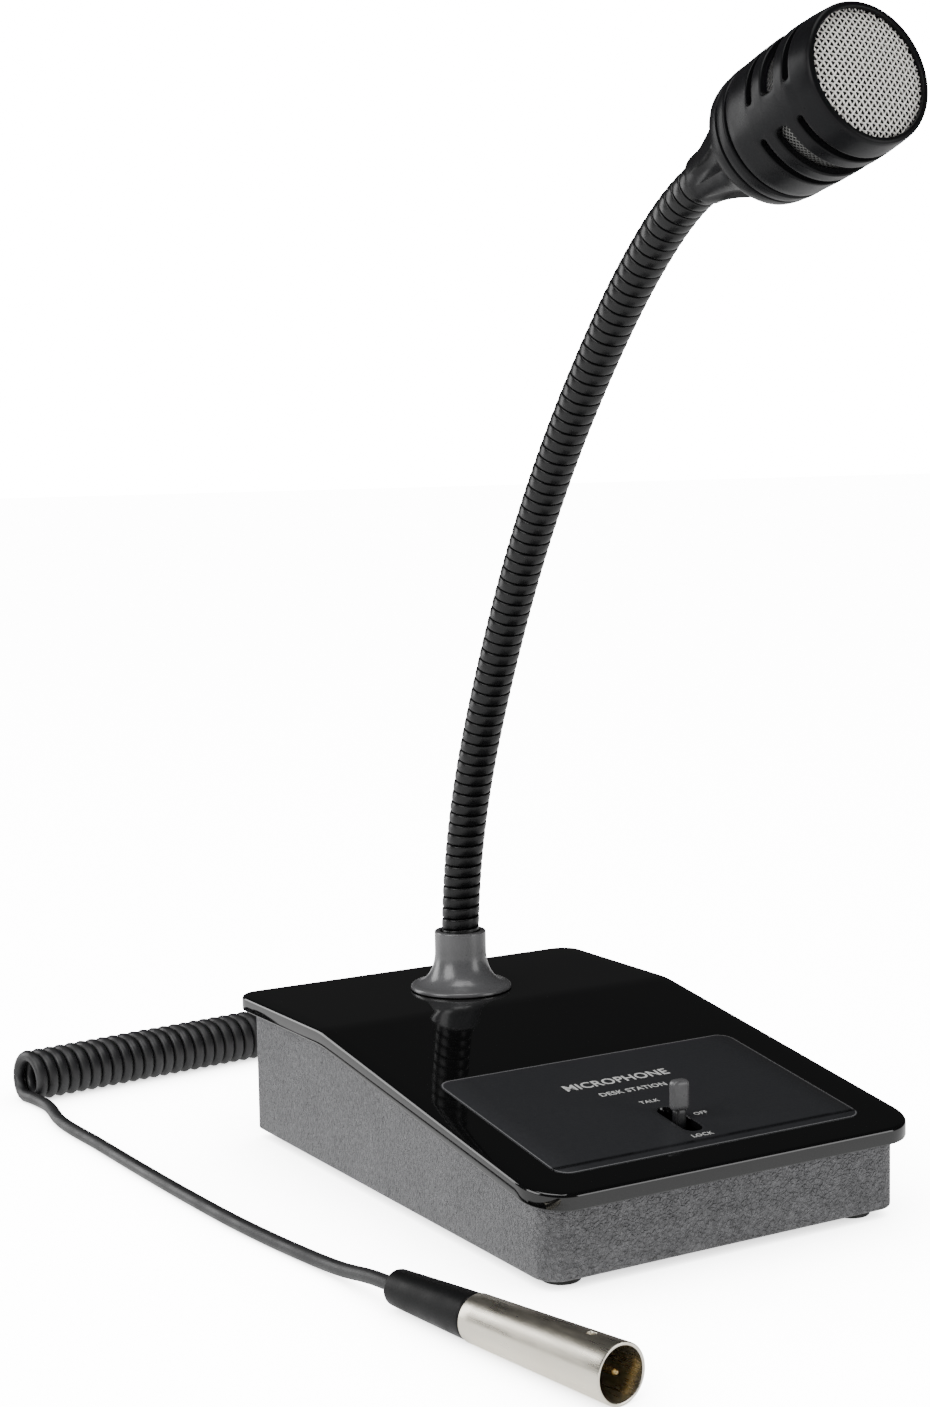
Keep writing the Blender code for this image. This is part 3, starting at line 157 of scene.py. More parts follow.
def plain_finish(name, colour, roughness, bump=None, metallic=0.0, **others):
    """A material of one colour, with its roughness and its bump from noise.

    roughness is (noise scale, low, high, detail) and bump is (noise scale, detail, strength, distance).
    """
    scale, low, high, detail = roughness
    material, shader, place = new_finish(name, colour, low, metallic, **others)
    between(noise(place, scale, detail), low, high).into(shader, "Roughness")
    if bump:
        scale, detail, strength, distance = bump
        add_bump(shader, noise(place, scale, detail), strength, distance)
    return material


def two_colours(shader, share, dark, light):
    """Base colour that goes from dark to light as share goes from 0 to 1."""
    mixed = share.make("ShaderNodeMix", {"data_type": "RGBA"}, {0: share, 6: (*dark, 1.0), 7: (*light, 1.0)}, 2)
    mixed.into(shader, "Base Color")


def local_to(spot, place):
    """Coordinates measured from a matrix's own origin, along its own axes."""
    return spot.make("ShaderNodeMapping", {"vector_type": "TEXTURE"},
                     {"Vector": spot, "Location": tuple(place.translation), "Rotation": tuple(place.to_euler())})


def split_axes(place):
    first = place.make("ShaderNodeSeparateXYZ", {}, {0: place})
    return [Signal(first.tree, socket) for socket in first.socket.node.outputs]


def carried(points, place):
    """Points about a matrix's own origin and axes, moved to the part's frame."""
    matrix = np.array(place)
    return points @ matrix[:3, :3].T + matrix[:3, 3]


def cubic_through(places, values, at):
    """Values on the cubic curve through the stops, its slope at each stop taken from its neighbours."""
    slopes = np.gradient(values, places, axis=0)
    i = np.clip(np.searchsorted(places, at) - 1, 0, len(places) - 2)
    shape = (-1,) + (1,) * (values.ndim - 1)
    h = (places[i + 1] - places[i]).reshape(shape)
    t = (at - places[i]).reshape(shape) / h
    return ((2 * t**3 - 3 * t**2 + 1) * values[i] + (t**3 - 2 * t**2 + t) * h * slopes[i]
            + (-2 * t**3 + 3 * t**2) * values[i + 1] + (t**3 - t**2) * h * slopes[i + 1])


def grid_faces(rows, columns, close_rows=False, close_columns=False):
    """Corner numbers of the four-sided faces between neighbouring points of a grid."""
    r, c = np.meshgrid(np.arange(rows if close_rows else rows - 1),
                       np.arange(columns if close_columns else columns - 1), indexing="ij")
    after_r, after_c = (r + 1) % rows, (c + 1) % columns
    corners = (r * columns + c, r * columns + after_c, after_r * columns + after_c, after_r * columns + c)
    return np.stack(corners, -1)


def hoop(grid, left_out=None):
    """A patch whose every row closes on itself."""
    return grid, False, True, left_out


def sheet(grid, left_out=None):
    """A patch that is open on all four sides."""
    return grid, False, False, left_out


def make_piece(name, patches, finish, body, sharp=38.0):
    """One mesh from grids of points, given as (points, close down, close across, faces left out or None).

    Points of different grids that coincide become one, so grids with a common edge make one closed skin.
    """
    points, faces, start = [], [], 0
    for grid, close_rows, close_columns, left_out in patches:
        rows, columns = grid.shape[:2]
        corners = grid_faces(rows, columns, close_rows, close_columns)
        if left_out is not None:
            corners = corners[~left_out]
        faces.append(corners.reshape(-1, 4) + start)
        points.append(grid.reshape(-1, 3))
        start += rows * columns
    mesh = bpy.data.meshes.new(name)
    mesh.from_pydata(np.concatenate(points), [], np.concatenate(faces).tolist())
    shape = bmesh.new()
    shape.from_mesh(mesh)
    bmesh.ops.remove_doubles(shape, verts=shape.verts, dist=2e-6)
    bmesh.ops.recalc_face_normals(shape, faces=shape.faces)
    shape.to_mesh(mesh)
    shape.free()
    mesh.shade_smooth()
    mesh.set_sharp_from_angle(angle=math.radians(sharp))
    piece = bpy.data.objects.new(name, mesh)
    bpy.context.scene.collection.objects.link(piece)
    mesh.materials.append(finish)
    if body:
        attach(piece, body)
    return piece


def softbox(name, place, aim, width, height, watts):
    light = bpy.data.lights.new(name, "AREA")
    light.shape = "RECTANGLE"
    light.size = width
    light.size_y = height
    light.energy = watts
    lamp = bpy.data.objects.new(name, light)
    lamp.location = place
    lamp.rotation_euler = (Vector(aim) - Vector(place)).to_track_quat("-Z", "Y").to_euler()
    bpy.context.scene.collection.objects.link(lamp)


softbox("left_softbox", (-1.5, -0.1, 0.9), (0.0, 0.0, 0.15), 1.0, 1.2, 24.0)
softbox("back_left_softbox", (-1.15, 1.75, 0.62), (0.0, 0.0, 0.15), 0.8, 1.5, 22.0)
softbox("overhead_softbox", (-0.15, -0.35, 1.8), (0.0, 0.0, 0.1), 1.2, 0.9, 18.0)
softbox("front_right_softbox", (1.15, -1.6, 0.45), (0.0, 0.0, 0.15), 0.8, 0.9, 11.0)

room = bpy.data.worlds.new("room")
bpy.context.scene.world = room
room.use_nodes = True
room_light = room.node_tree.nodes["Background"]
room_light.inputs["Color"].default_value = (1.0, 1.0, 1.0, 1.0)
seen = Signal(room.node_tree).make("ShaderNodeLightPath", {}, {})
room_to_eye, room_to_piece = 18.0, 0.04
(seen * (room_to_eye - room_to_piece) + room_to_piece).into(room_light, "Strength")

paper_finish, paper_shader, paper_place = new_finish("white_paper", (0.85, 0.85, 0.85), 0.9)
paper_shader.inputs["Specular IOR Level"].default_value = 0.0
paper_nodes = paper_finish.node_tree
seen = paper_place.make("ShaderNodeLightPath", {}, {})
# To the eye the paper is a glow that ambient occlusion dims near the piece: a painted contact shadow, not one cast
# by the lamps.
painted_shadow_ao = paper_place.make("ShaderNodeAmbientOcclusion", {"samples": 12}, {"Distance": 0.09}, 1)
glow_with_painted_shadow = paper_place.make("ShaderNodeEmission", {}, {"Strength": painted_shadow_ao * 13.0 + 1.0})
bright = paper_place.make("ShaderNodeBsdfDiffuse", {}, {"Color": (0.95, 0.95, 0.95, 1.0)})
lit = paper_place.make("ShaderNodeAddShader", {}, {0: glow_with_painted_shadow, 1: bright})
fill = paper_place.make("ShaderNodeEmission", {}, {"Strength": 0.75})
dim = paper_place.make("ShaderNodeAddShader", {}, {0: fill, 1: Signal(paper_nodes, paper_shader.outputs[0])})
chosen = paper_place.make("ShaderNodeMixShader", {}, {0: seen, 1: dim, 2: lit})
chosen.into(paper_nodes.nodes["Material Output"], "Surface")
span = np.linspace(-14.0, 14.0, 5)
paper_x, paper_y = np.meshgrid(span, span, indexing="xy")
paper = make_piece("white_paper", [sheet(np.stack((paper_x, paper_y, 0.0 * paper_x), -1))],
                   paper_finish, None)
if paper.data.polygons[0].normal.z < 0.0:
    paper.data.flip_normals()


# ---------------------------------------------------------------- curly cord
# One 5 mm rubber-sheathed cable: out of the back of the base, wound into a tight curl of 39 and a
# half turns on a 17 mm mean diameter, then straight along the base's left side to its plug.
cord_radius = 0.0025
coil_radius = 0.011
coil_mean_radius = coil_radius - cord_radius
coil_length = 0.1975
coil_turns = 39.5
beside = cord_radius + 0.0003
coil_place = Matrix.Translation((-0.1335, base_y + 0.2125, 0.0)) @ Matrix.Rotation(math.radians(6.0), 4, "Z")
floor_z = cord_radius + 0.0003
gland_low, gland_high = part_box("cord_gland")
gland_place = Matrix.Translation(((gland_low.x + gland_high.x) / 2.0, base_y + 0.1103,
                                  (gland_low.z + gland_high.z) / 2.0)) @ Matrix.Rotation(-math.pi / 2.0, 4, "X")
gland_tip = Vector(((gland_low.x + gland_high.x) / 2.0, gland_high.y + 0.0003, (gland_low.z + gland_high.z) / 2.0))

plug_tilt = math.atan((0.00955 - 0.0079) / 0.0660)
plug_heading = math.radians(8.7)
plug_forward = Vector((math.sin(plug_heading) * math.cos(plug_tilt), -math.cos(plug_heading) * math.cos(plug_tilt),
                       math.sin(plug_tilt)))
plug_side = plug_forward.cross(Vector((0.0, 0.0, 1.0))).normalized()
plug_up = plug_side.cross(plug_forward).normalized()
plug_place = Matrix((plug_side, plug_up, plug_forward)).transposed().to_4x4()
plug_place.translation = Vector((-0.1208, base_y - 0.0915, 0.0079 * math.cos(plug_tilt)
                                 - 0.0408 * math.sin(plug_tilt) + 0.0001))


def smooth_route(stops, spacing):
    """Evenly spaced points on the cubic curve through the stops, its direction at each from its neighbours."""
    route = np.array(stops, float)
    run = np.concatenate(([0.0], np.cumsum(np.linalg.norm(np.diff(route, axis=0), axis=1))))
    return cubic_through(run, route, np.linspace(0.0, run[-1], int(round(run[-1] / spacing)) + 1))


def coil_points(steps_each_turn):
    """Points of a helix along the coil: over the top, down at the back and forward underneath."""
    turn = np.linspace(0.0, coil_turns * 2.0 * math.pi, int(coil_turns * steps_each_turn) + 1)
    share = turn / turn[-1]
    wander = 0.00005 * np.sin(turn * 0.237) * np.sin(turn * 0.061 + 1.0)
    x = coil_length + beside - share * (coil_length + 2.0 * beside) + wander
    points = np.stack((x, coil_mean_radius * np.sin(turn), coil_radius + coil_mean_radius * np.cos(turn)), -1)
    return carried(points, coil_place)


top_z = 2.0 * coil_radius - cord_radius
lead_stops = [tuple(gland_tip), (gland_tip.x + 0.0008, gland_tip.y + 0.012, gland_tip.z - 0.0015),
              (gland_tip.x + 0.0060, gland_tip.y + 0.032, 0.0115),
              (gland_tip.x + 0.0130, gland_tip.y + 0.052, 0.0078),
              tuple(coil_place @ Vector((coil_length + beside, -0.018, 0.0122))),
              tuple(coil_place @ Vector((coil_length + beside, 0.0, top_z)))]
tail_stops = [tuple(coil_place @ Vector((-beside, 0.0, floor_z))),
              tuple(coil_place @ Vector((-beside, -0.020, floor_z))),
              (-0.1379, base_y + 0.167, floor_z), (-0.1370, base_y + 0.125, floor_z),
              (-0.1360, base_y + 0.086, floor_z), (-0.1344, base_y + 0.045, floor_z),
              (-0.1318, base_y + 0.004, floor_z), (-0.1275, base_y - 0.032, floor_z),
              (-0.1243, base_y - 0.060, floor_z + 0.0012), tuple(plug_place @ Vector((0.0, 0.0, -0.012))),
              tuple(plug_place @ Vector((0.0, 0.0, -0.0003)))]
inside_plug = tuple(plug_place @ Vector((0.0, 0.0, 0.036)))
cord_line = np.concatenate((smooth_route(lead_stops, 0.004)[:-1], coil_points(20),
                            smooth_route(tail_stops, 0.006)[1:], [inside_plug]))

cord_finish, cord_shader, cord_place = new_finish("cord_rubber", (0.013, 0.013, 0.014), 0.48)
cord_grain = noise(cord_place, 900.0, 4.0, 0.6)
between(noise(cord_place, 90.0), 0.40, 0.56).into(cord_shader, "Roughness")
add_bump(cord_shader, cord_grain, 0.25, 0.0002)

cord_curve = bpy.data.curves.new("curly_cord", "CURVE")
cord_curve.dimensions = "3D"
cord_curve.bevel_depth = cord_radius
cord_curve.bevel_resolution = 5
cord_curve.use_fill_caps = True
cord_spline = cord_curve.splines.new("POLY")
cord_spline.points.add(len(cord_line) - 1)
cord_spline.points.foreach_set("co", np.column_stack((cord_line, np.ones(len(cord_line)))).ravel())
cord_curve.materials.append(cord_finish)
curly_cord = bpy.data.objects.new("curly_cord", cord_curve)
bpy.context.scene.collection.objects.link(curly_cord)
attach(curly_cord, "base")
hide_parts("cord_lead", "cord_coil", "cord_tail")


# ---------------------------------------------------------------- strain relief
# Moulded rubber grommet snapped into the back wall; its tapered, ribbed sleeve holds the cord straight.
def rounded(corners, radius, steps=4):
    """Turned outline through (radius, height) corners, each corner replaced by a short arc.

    The arc runs from one side to the next as a quadratic curve that starts and ends `radius` from the corner.
    A radius may be one number or one for each corner, and 0 keeps a corner sharp.
    """
    corners = np.array(corners, float)
    count = len(corners)
    radii = np.broadcast_to(np.array(radius, float), count)
    line = []
    for k in range(count):
        here, before, after = corners[k], corners[k - 1], corners[(k + 1) % count]
        reach = min(radii[k], 0.45 * np.linalg.norm(before - here), 0.45 * np.linalg.norm(after - here))
        if reach <= 0.0 or here[0] == 0.0:
            line.append(here[None, :])
            continue
        a = here + (before - here) / np.linalg.norm(before - here) * reach
        b = here + (after - here) / np.linalg.norm(after - here) * reach
        t = np.linspace(0.0, 1.0, steps + 1)[:, None]
        line.append((1 - t) ** 2 * a + 2 * t * (1 - t) * here + t**2 * b)
    return np.concatenate(line)


def turned(outline, sides, place, scallop=None):
    """Grid of the outline (radius, height) carried round the Z axis of place; scallop may change the radius."""
    outline = np.array(outline, float)
    turn = np.linspace(0.0, 2.0 * math.pi, sides, endpoint=False)
    radius = np.repeat(outline[:, :1], sides, axis=1)
    height = np.repeat(outline[:, 1:], sides, axis=1)
    if scallop is not None:
        radius = scallop(turn[None, :], radius, height)
    return carried(np.stack((radius * np.cos(turn), radius * np.sin(turn), height), -1), place)


def turned_piece(name, outline, sides, place, finish, body, scallop=None, sharp=38.0):
    """A turned piece; an outline that starts and ends on the axis closes there, and any other is a ring."""
    on_axis = outline[0][0] == 0.0
    return make_piece(name, [(turned(outline, sides, place, scallop), not on_axis, True, None)], finish, body, sharp)


gland_finish = plain_finish("grommet_rubber", (0.014, 0.014, 0.015), (260.0, 0.5, 0.7, 3.0),
                            (1400.0, 3.0, 0.2, 0.0002))
ribs = []
for k in range(6):
    rib_at = 0.0046 + 0.0030 * k
    rib_radius = 0.0046 - (0.0015 / 0.022) * (rib_at - 0.0023)
    ribs += [(rib_radius, rib_at), (rib_radius, rib_at + 0.0017), (rib_radius - 0.0008, rib_at + 0.0019),
             (rib_radius - 0.0009, rib_at + 0.0028)]
gland_outline = [(0.0, -0.0048), (0.0065, -0.0048), (0.0065, -0.0028), (0.0046, -0.0028), (0.0046, 0.0003),
                 (0.0065, 0.0003), (0.0065, 0.0020), (0.0050, 0.0024)] + ribs
gland_outline += [(0.0031, 0.0233), (0.0031, 0.0243), (0.0, 0.0243)]
gland = turned_piece("strain_relief", rounded(gland_outline, 0.0004, 3), 40, gland_place, gland_finish, "base")
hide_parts("cord_gland")


# ---------------------------------------------------------------- three-pin plug
# Die-cast shell, plated in satin nickel, screwed onto a black rubber boot. Its mouth is open, with
# three brass pins in a black insert, and a latch window near the mouth on the upper side.
boot_length = 0.0405
shell_start = 0.0408
shell_end = 0.1068
shell_rear_radius = 0.0079
mouth_radius = 0.00955
shell_wall = 0.0011

boot_finish = plain_finish("boot_rubber", (0.006, 0.006, 0.0063), (120.0, 0.34, 0.52, 3.0),
                           (1100.0, 3.0, 0.15, 0.0002),
                           Specular_IOR_Level=0.12)
boot_outline = [(0.0026, 0.037), (0.0026, 0.0), (0.0056, 0.0), (0.0061, 0.0010), (0.0064, 0.008),
                (0.0068, 0.018), (0.0073, 0.031), (0.0076, boot_length - 0.0008), (0.0073, boot_length),
                (0.0026, boot_length)]
boot = turned_piece("plug_sleeve", rounded(boot_outline, 0.0006), 64, plug_place, boot_finish, "base")
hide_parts("plug_boot")


def hole_edge(px, py, half_x, half_y, corner):
    """Outline of a round-cornered hole: px, py from -1 to 1 round a square go to the hole's own edge.

    Each side of the square goes to a side of the hole, and what falls in a corner moves out to its arc.
    """
    x, y = px * half_x, py * half_y
    over_x, over_y = np.abs(x) - (half_x - corner), np.abs(y) - (half_y - corner)
    length = np.hypot(over_x, over_y)
    in_corner = (over_x > 0.0) & (over_y > 0.0)
    scale = np.where(in_corner, corner / np.maximum(length, 1e-9), 1.0)
    x = np.where(in_corner, np.sign(x) * (half_x - corner + over_x * scale), x)
    y = np.where(in_corner, np.sign(y) * (half_y - corner + over_y * scale), y)
    return x, y


def loop_round(grid):
    """The outer row of a grid of values, all the way round once."""
    return np.concatenate((grid[0, :-1], grid[:-1, -1], grid[-1, :0:-1], grid[:0:-1, 0]))


def pierced(place_out, place_in, xs, ys, half_x, half_y, corner, chamfer, steps=3):
    """Skin round one hole through a wall: outer face, chamfered edge, side of the hole, inner face.

    xs and ys are the lines of the cell that the hole is in, in the flat, about the hole's middle. place_out
    and place_in carry flat points and a depth from 0 to 1 (the chamfer) to the two faces.
    """
    gx, gy = np.meshgrid(xs, ys, indexing="xy")
    ex, ey = loop_round(gx), loop_round(gy)
    px, py = ex / np.abs(xs).max(), ey / np.abs(ys).max()
    wide_x, wide_y = hole_edge(px, py, half_x + chamfer, half_y + chamfer, corner + chamfer)
    near_x, near_y = hole_edge(px, py, half_x, half_y, corner)
    mix = np.linspace(0.0, 1.0, steps + 1)[:, None]
    out = place_out(ex + (wide_x - ex) * mix, ey + (wide_y - ey) * mix, 0.0)
    half_way = place_out((wide_x * 0.35 + near_x * 0.65)[None, :], (wide_y * 0.35 + near_y * 0.65)[None, :], 0.4)
    edge = place_out(near_x[None, :], near_y[None, :], 1.0)
    inside = place_in(near_x + (ex - near_x) * mix, near_y + (ey - near_y) * mix, 0.0)
    return np.concatenate((out, half_way, edge, inside))


def plug_cylinder(angle, along, radius):
    """Flat distance round and along the plug to points on a cylinder or cone about its axis."""
    return carried(np.stack((radius * np.cos(angle), radius * np.sin(angle), along + 0.0 * angle), -1), plug_place)


def shell_radius(along):
    return shell_rear_radius + (mouth_radius - shell_rear_radius) * (along - shell_start) / (shell_end - shell_start)


window_at = shell_end - 0.0125
mean = 0.009
window_lines_x = np.linspace(-1.0, 1.0, 13) * math.radians(24.0) * mean
window_lines_y = np.linspace(-1.0, 1.0, 11) * 0.0032
window_out = lambda x, y, d: plug_cylinder(math.pi / 2 + x / mean, window_at + y, shell_radius(window_at + y)
                                           - 0.0002 * d)
window_in = lambda x, y, d: plug_cylinder(math.pi / 2 + x / mean, window_at + y, shell_radius(window_at + y)
                                          - shell_wall)
window = pierced(window_out, window_in, window_lines_x, window_lines_y, 0.0011, 0.0015, 0.0008, 0.0002)
around = np.unique(np.concatenate((math.pi / 2 + window_lines_x / mean,
                                   math.pi / 2 + np.radians(np.linspace(24.0, 336.0, 90)))))
along = np.unique(np.round(np.concatenate((window_at + window_lines_y, np.linspace(shell_start + 0.0006, window_at
                  - 0.0032, 12), np.linspace(window_at + 0.0032, shell_end - 0.0006, 5))), 9))
turn_grid, along_grid = np.meshgrid(around, along, indexing="xy")
in_window = ((turn_grid[:-1, :-1] > math.pi / 2 + window_lines_x[0] / mean - 1e-6)
             & (turn_grid[:-1, 1:] < math.pi / 2 + window_lines_x[-1] / mean + 1e-6)
             & (along_grid[:-1, :-1] > window_at - 0.0032 - 1e-6) & (along_grid[1:, 1:] < window_at + 0.0032 + 1e-6))
open_at_seam = np.concatenate((in_window, np.zeros((len(along) - 1, 1), bool)), 1)
outer_skin = plug_cylinder(turn_grid, along_grid, shell_radius(along_grid))
inner_skin = plug_cylinder(turn_grid, along_grid, shell_radius(along_grid) - shell_wall)
mouth_profile = [(shell_radius(along[-1]), along[-1]), (mouth_radius - 0.00003, shell_end - 0.00025),
                 (mouth_radius - 0.0002, shell_end - 0.00006), (mouth_radius - 0.00045, shell_end),
                 (mouth_radius - 0.0008, shell_end), (mouth_radius - shell_wall, shell_end - 0.0002),
                 (shell_radius(along[-1]) - shell_wall, along[-1])]
rear_profile = [(shell_radius(along[0]), along[0]), (shell_rear_radius - 0.0001, shell_start + 0.0002),
                (shell_rear_radius - 0.0004, shell_start), (shell_rear_radius - shell_wall, shell_start),
                (shell_radius(along[0]) - shell_wall, along[0])]
mouth_edge = np.stack([plug_cylinder(around, z, r) for r, z in mouth_profile])
rear_edge = np.stack([plug_cylinder(around, z, r) for r, z in rear_profile])

nickel_finish, nickel_shader, nickel_spot = new_finish("satin_nickel", (0.86, 0.80, 0.67), 0.30, 1.0)
along_plug = local_to(nickel_spot, plug_place)
brushed = along_plug.make("ShaderNodeMapping", {}, {"Vector": along_plug, "Scale": (900.0, 900.0, 60.0)})
streaks = noise(brushed, 1.0, 4.0, 0.6)
blotches = noise(nickel_spot, 60.0, 3.0)
(between(streaks, 0.26, 0.34) + between(blotches, -0.03, 0.04)).into(nickel_shader, "Roughness")
two_colours(nickel_shader, blotches, (0.80, 0.76, 0.66), (0.72, 0.67, 0.55))
add_bump(nickel_shader, streaks, 0.08, 0.0002)
shell = make_piece("plug_housing", [hoop(outer_skin, open_at_seam), hoop(inner_skin, open_at_seam),
                                    hoop(mouth_edge), hoop(rear_edge),
                                    hoop(window)], nickel_finish, "base")
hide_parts("plug_shell")

insert_finish, insert_shader, insert_spot = new_finish("insert_plastic", (0.02, 0.02, 0.021), 0.5)
add_bump(insert_shader, noise(insert_spot, 900.0), 0.2, 0.0002)
insert_front = shell_end - 0.0165
insert_outline = [(0.0, insert_front - 0.0100), (0.00785, insert_front - 0.0100), (0.00785, insert_front),
                  (0.0030, insert_front), (0.0026, insert_front - 0.0006), (0.0, insert_front - 0.0006)]
insert = turned_piece("pin_carrier", rounded(insert_outline, 0.0003), 48, plug_place, insert_finish, "base")
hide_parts("plug_insert")
pin_finish = plain_finish("pin_brass", (0.78, 0.60, 0.30), (500.0, 0.16, 0.30, 3.0), metallic=1.0)
for k in range(3):
    turn = math.radians(90.0 + 120.0 * k)
    spot = plug_place @ Matrix.Translation((0.0045 * math.cos(turn), 0.0045 * math.sin(turn), 0.0))
    pin_outline = [(0.0, insert_front - 0.0050), (0.0012, insert_front - 0.0050), (0.0012, insert_front + 0.0092),
                   (0.0005, insert_front + 0.0105), (0.0, insert_front + 0.0105)]
    pin = turned_piece(f"contact_pin_{k + 1}", rounded(pin_outline, 0.0004), 20, spot, pin_finish, "base")
    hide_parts(f"plug_pin_{k + 1}")


# ---------------------------------------------------------------- top cover
# Injection-moulded cover in high-gloss black ABS: flat behind, sloping in front, with a rolled edge
# that overhangs the lower housing all round. Screws from below hold it, and a slot lets the lever out.
half_width = 0.0805
half_depth = 0.1158
rear_z = 0.0587
front_z = 0.0348
bend_y = 0.041
slope = math.atan((rear_z - front_z) / (bend_y + half_depth))
bend_radius = 0.060
bend_reach = bend_radius * math.tan(slope / 2.0)
slot_y = -0.0797
slot_half = (0.0041, 0.011)
cell_half = (0.0095, 0.0165)
plate = 0.0026


def cover_height(y):
    """Level behind the bend, a straight slope in front of it, and a parabola that meets both in between."""
    fall = math.tan(slope)
    inside = np.clip(bend_y + bend_reach - y, 0.0, 2.0 * bend_reach)
    beyond = np.maximum(bend_y - bend_reach - y, 0.0)
    return rear_z - fall * inside**2 / (4.0 * bend_reach) - fall * beyond


slot_lines = np.linspace(-1.0, 1.0, 15) * cell_half[1] + slot_y
straight_lines = np.unique(np.round(np.concatenate((
    np.linspace(-0.0995, slot_lines[0], 3), slot_lines, np.linspace(slot_lines[-1], bend_y - bend_reach, 18),
    np.linspace(bend_y - bend_reach, bend_y + bend_reach, 13), np.linspace(bend_y + bend_reach, 0.105, 10))), 8))
across_lines = np.unique(np.round(np.concatenate((
    np.linspace(-1.0, 1.0, 13) * cell_half[0] / half_width, np.linspace(cell_half[0] / half_width, 1.0, 14),
    np.linspace(-1.0, -cell_half[0] / half_width, 14))), 8))


def base_plan(inset):
    """Grid over a rectangle with rounded corners: rows at set depths, points spread over each row's width.

    In the corner rows the half width is the corner's circle; inset moves the whole outline inwards.
    """
    front, rear = 0.0145 - inset, 0.009 - inset
    depth, width = half_depth - inset, half_width - inset
    a, b = np.radians(np.linspace(0.0, 90.0, 13)), np.radians(np.linspace(90.0, 0.0, 11))
    y = np.concatenate((-depth + front * (1 - np.cos(a)), straight_lines, depth - rear * (1 - np.cos(b))))
    half = np.concatenate((width - front * (1 - np.sin(a)), np.full(len(straight_lines), width),
                           width - rear * (1 - np.sin(b))))
    return half[:, None] * across_lines[None, :], np.repeat(y[:, None], len(across_lines), 1)


def base_points(x, y, z):
    return np.stack((x, y + base_y, z), -1)


def base_ring(inset, height):
    """The outline at an inset, at a height that may follow y."""
    x, y = (loop_round(g) for g in base_plan(inset))
    return base_points(x, y, height(y) + 0.0 * y)


def slot_cell(y_grid, x_grid):
    """Faces of the plan grid that the lever slot's own patch takes the place of."""
    middle_x = (x_grid[:-1, :-1] + x_grid[1:, 1:]) / 2.0
    middle_y = (y_grid[:-1, :-1] + y_grid[1:, 1:]) / 2.0
    return (np.abs(middle_x) < cell_half[0]) & (np.abs(middle_y - slot_y) < cell_half[1])


edge_round = 0.0012
skirt_wall = 0.0025
turns = np.radians(np.linspace(0.0, 90.0, 7))
skirt = [(edge_round * (1 - math.sin(a)), edge_round * (1 - math.cos(a))) for a in turns]
skirt += [(0.0, 0.0052), (0.0001, 0.0056), (0.0004, 0.0058), (0.0022, 0.0058), (skirt_wall, 0.0055),
          (skirt_wall, plate)]
cover_rings = np.stack([base_ring(inset, lambda y, d=drop: cover_height(y) - d) for inset, drop in skirt])
top_x, top_y = base_plan(edge_round)
under_x, under_y = base_plan(skirt_wall)
cell_xs = across_lines[np.abs(across_lines) <= cell_half[0] / half_width + 1e-7]


def cover_slot(xs_scale, steps):
    xs = cell_xs * xs_scale
    place_out = lambda x, y, d: base_points(x, y + slot_y, cover_height(y + slot_y) - 0.0003 * d)
    place_in = lambda x, y, d: base_points(x, y + slot_y, cover_height(y + slot_y) - plate)
    return pierced(place_out, place_in, xs, slot_lines - slot_y, slot_half[0], slot_half[1], slot_half[0] - 1e-6,
                   0.0003, steps)


slot_patch = cover_slot(half_width - edge_round, 4)
under_grid = np.meshgrid(cell_xs * (half_width - skirt_wall), slot_lines, indexing="xy")
ring_x, ring_y = (loop_round(g) for g in under_grid)
slot_patch = np.concatenate((slot_patch[:-1], base_points(ring_x, ring_y, cover_height(ring_y) - plate)[None]))
gloss_finish, gloss_shader, gloss_spot = new_finish("gloss_black_abs", (0.0035, 0.0035, 0.0037), 0.05)
between(noise(gloss_spot, 35.0, 2.0), 0.035, 0.075).into(gloss_shader, "Roughness")
specks = noise(gloss_spot, 2600.0, 1.0)
add_bump(gloss_shader, specks.maths("GREATER_THAN", specks, 0.74), 0.12, 0.0001)
cover = make_piece("gloss_cover", [
    sheet(base_points(top_x, top_y, cover_height(top_y)), slot_cell(top_y, top_x)),
    hoop(cover_rings),
    sheet(base_points(under_x, under_y, cover_height(under_y) - plate), slot_cell(under_y, under_x)),
    hoop(slot_patch)], gloss_finish, "base", 50.0)
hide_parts("top_cover")


# ---------------------------------------------------------------- lower housing
# Deep tray moulded in charcoal ABS with a fine leather grain on its walls; it carries the ballast plate
# and the electronics, and stands on four feet.
floor_drop = 0.0035
tray_floor = 0.006
housing_inset = 0.0055
corner_round = 0.0010
inner_inset = housing_inset + 0.0025
wall_lines = [(housing_inset + corner_round * (1 - math.sin(a)), corner_round * (1 - math.cos(a))) for a in turns]
housing_rings = [base_ring(inset, lambda y, h=rise: floor_drop + h + 0.0 * y) for inset, rise in wall_lines]
housing_rings += [base_ring(housing_inset, lambda y: cover_height(y) - plate - 0.0008),
                  base_ring(housing_inset + 0.0005, lambda y: cover_height(y) - plate - 0.0003),
                  base_ring(inner_inset, lambda y: cover_height(y) - plate - 0.0003),
                  base_ring(inner_inset, lambda y: tray_floor + 0.0 * y)]
bottom_x, bottom_y = base_plan(housing_inset + corner_round)
inner_x, inner_y = base_plan(inner_inset)
grain_finish, grain_shader, grain_spot = new_finish("grained_abs", (0.052, 0.052, 0.056), 0.5)
creases = grain_spot.make("ShaderNodeTexVoronoi", {"feature": "DISTANCE_TO_EDGE"},
                          {"Vector": grain_spot, "Scale": 620.0, "Randomness": 1.0})
pebbles = noise(grain_spot, 520.0, 4.0, 0.62)
clouds = noise(grain_spot, 70.0, 3.0)
grain_height = creases.maths("MINIMUM", creases * 2.2, 0.5) + pebbles * 1.1
add_bump(grain_shader, grain_height, 0.95, 0.0007)
two_colours(grain_shader, pebbles * 2.6 - 1.05 + clouds * 0.5, (0.045, 0.045, 0.048), (0.150, 0.150, 0.156))
between(pebbles, 0.38, 0.60).into(grain_shader, "Roughness")
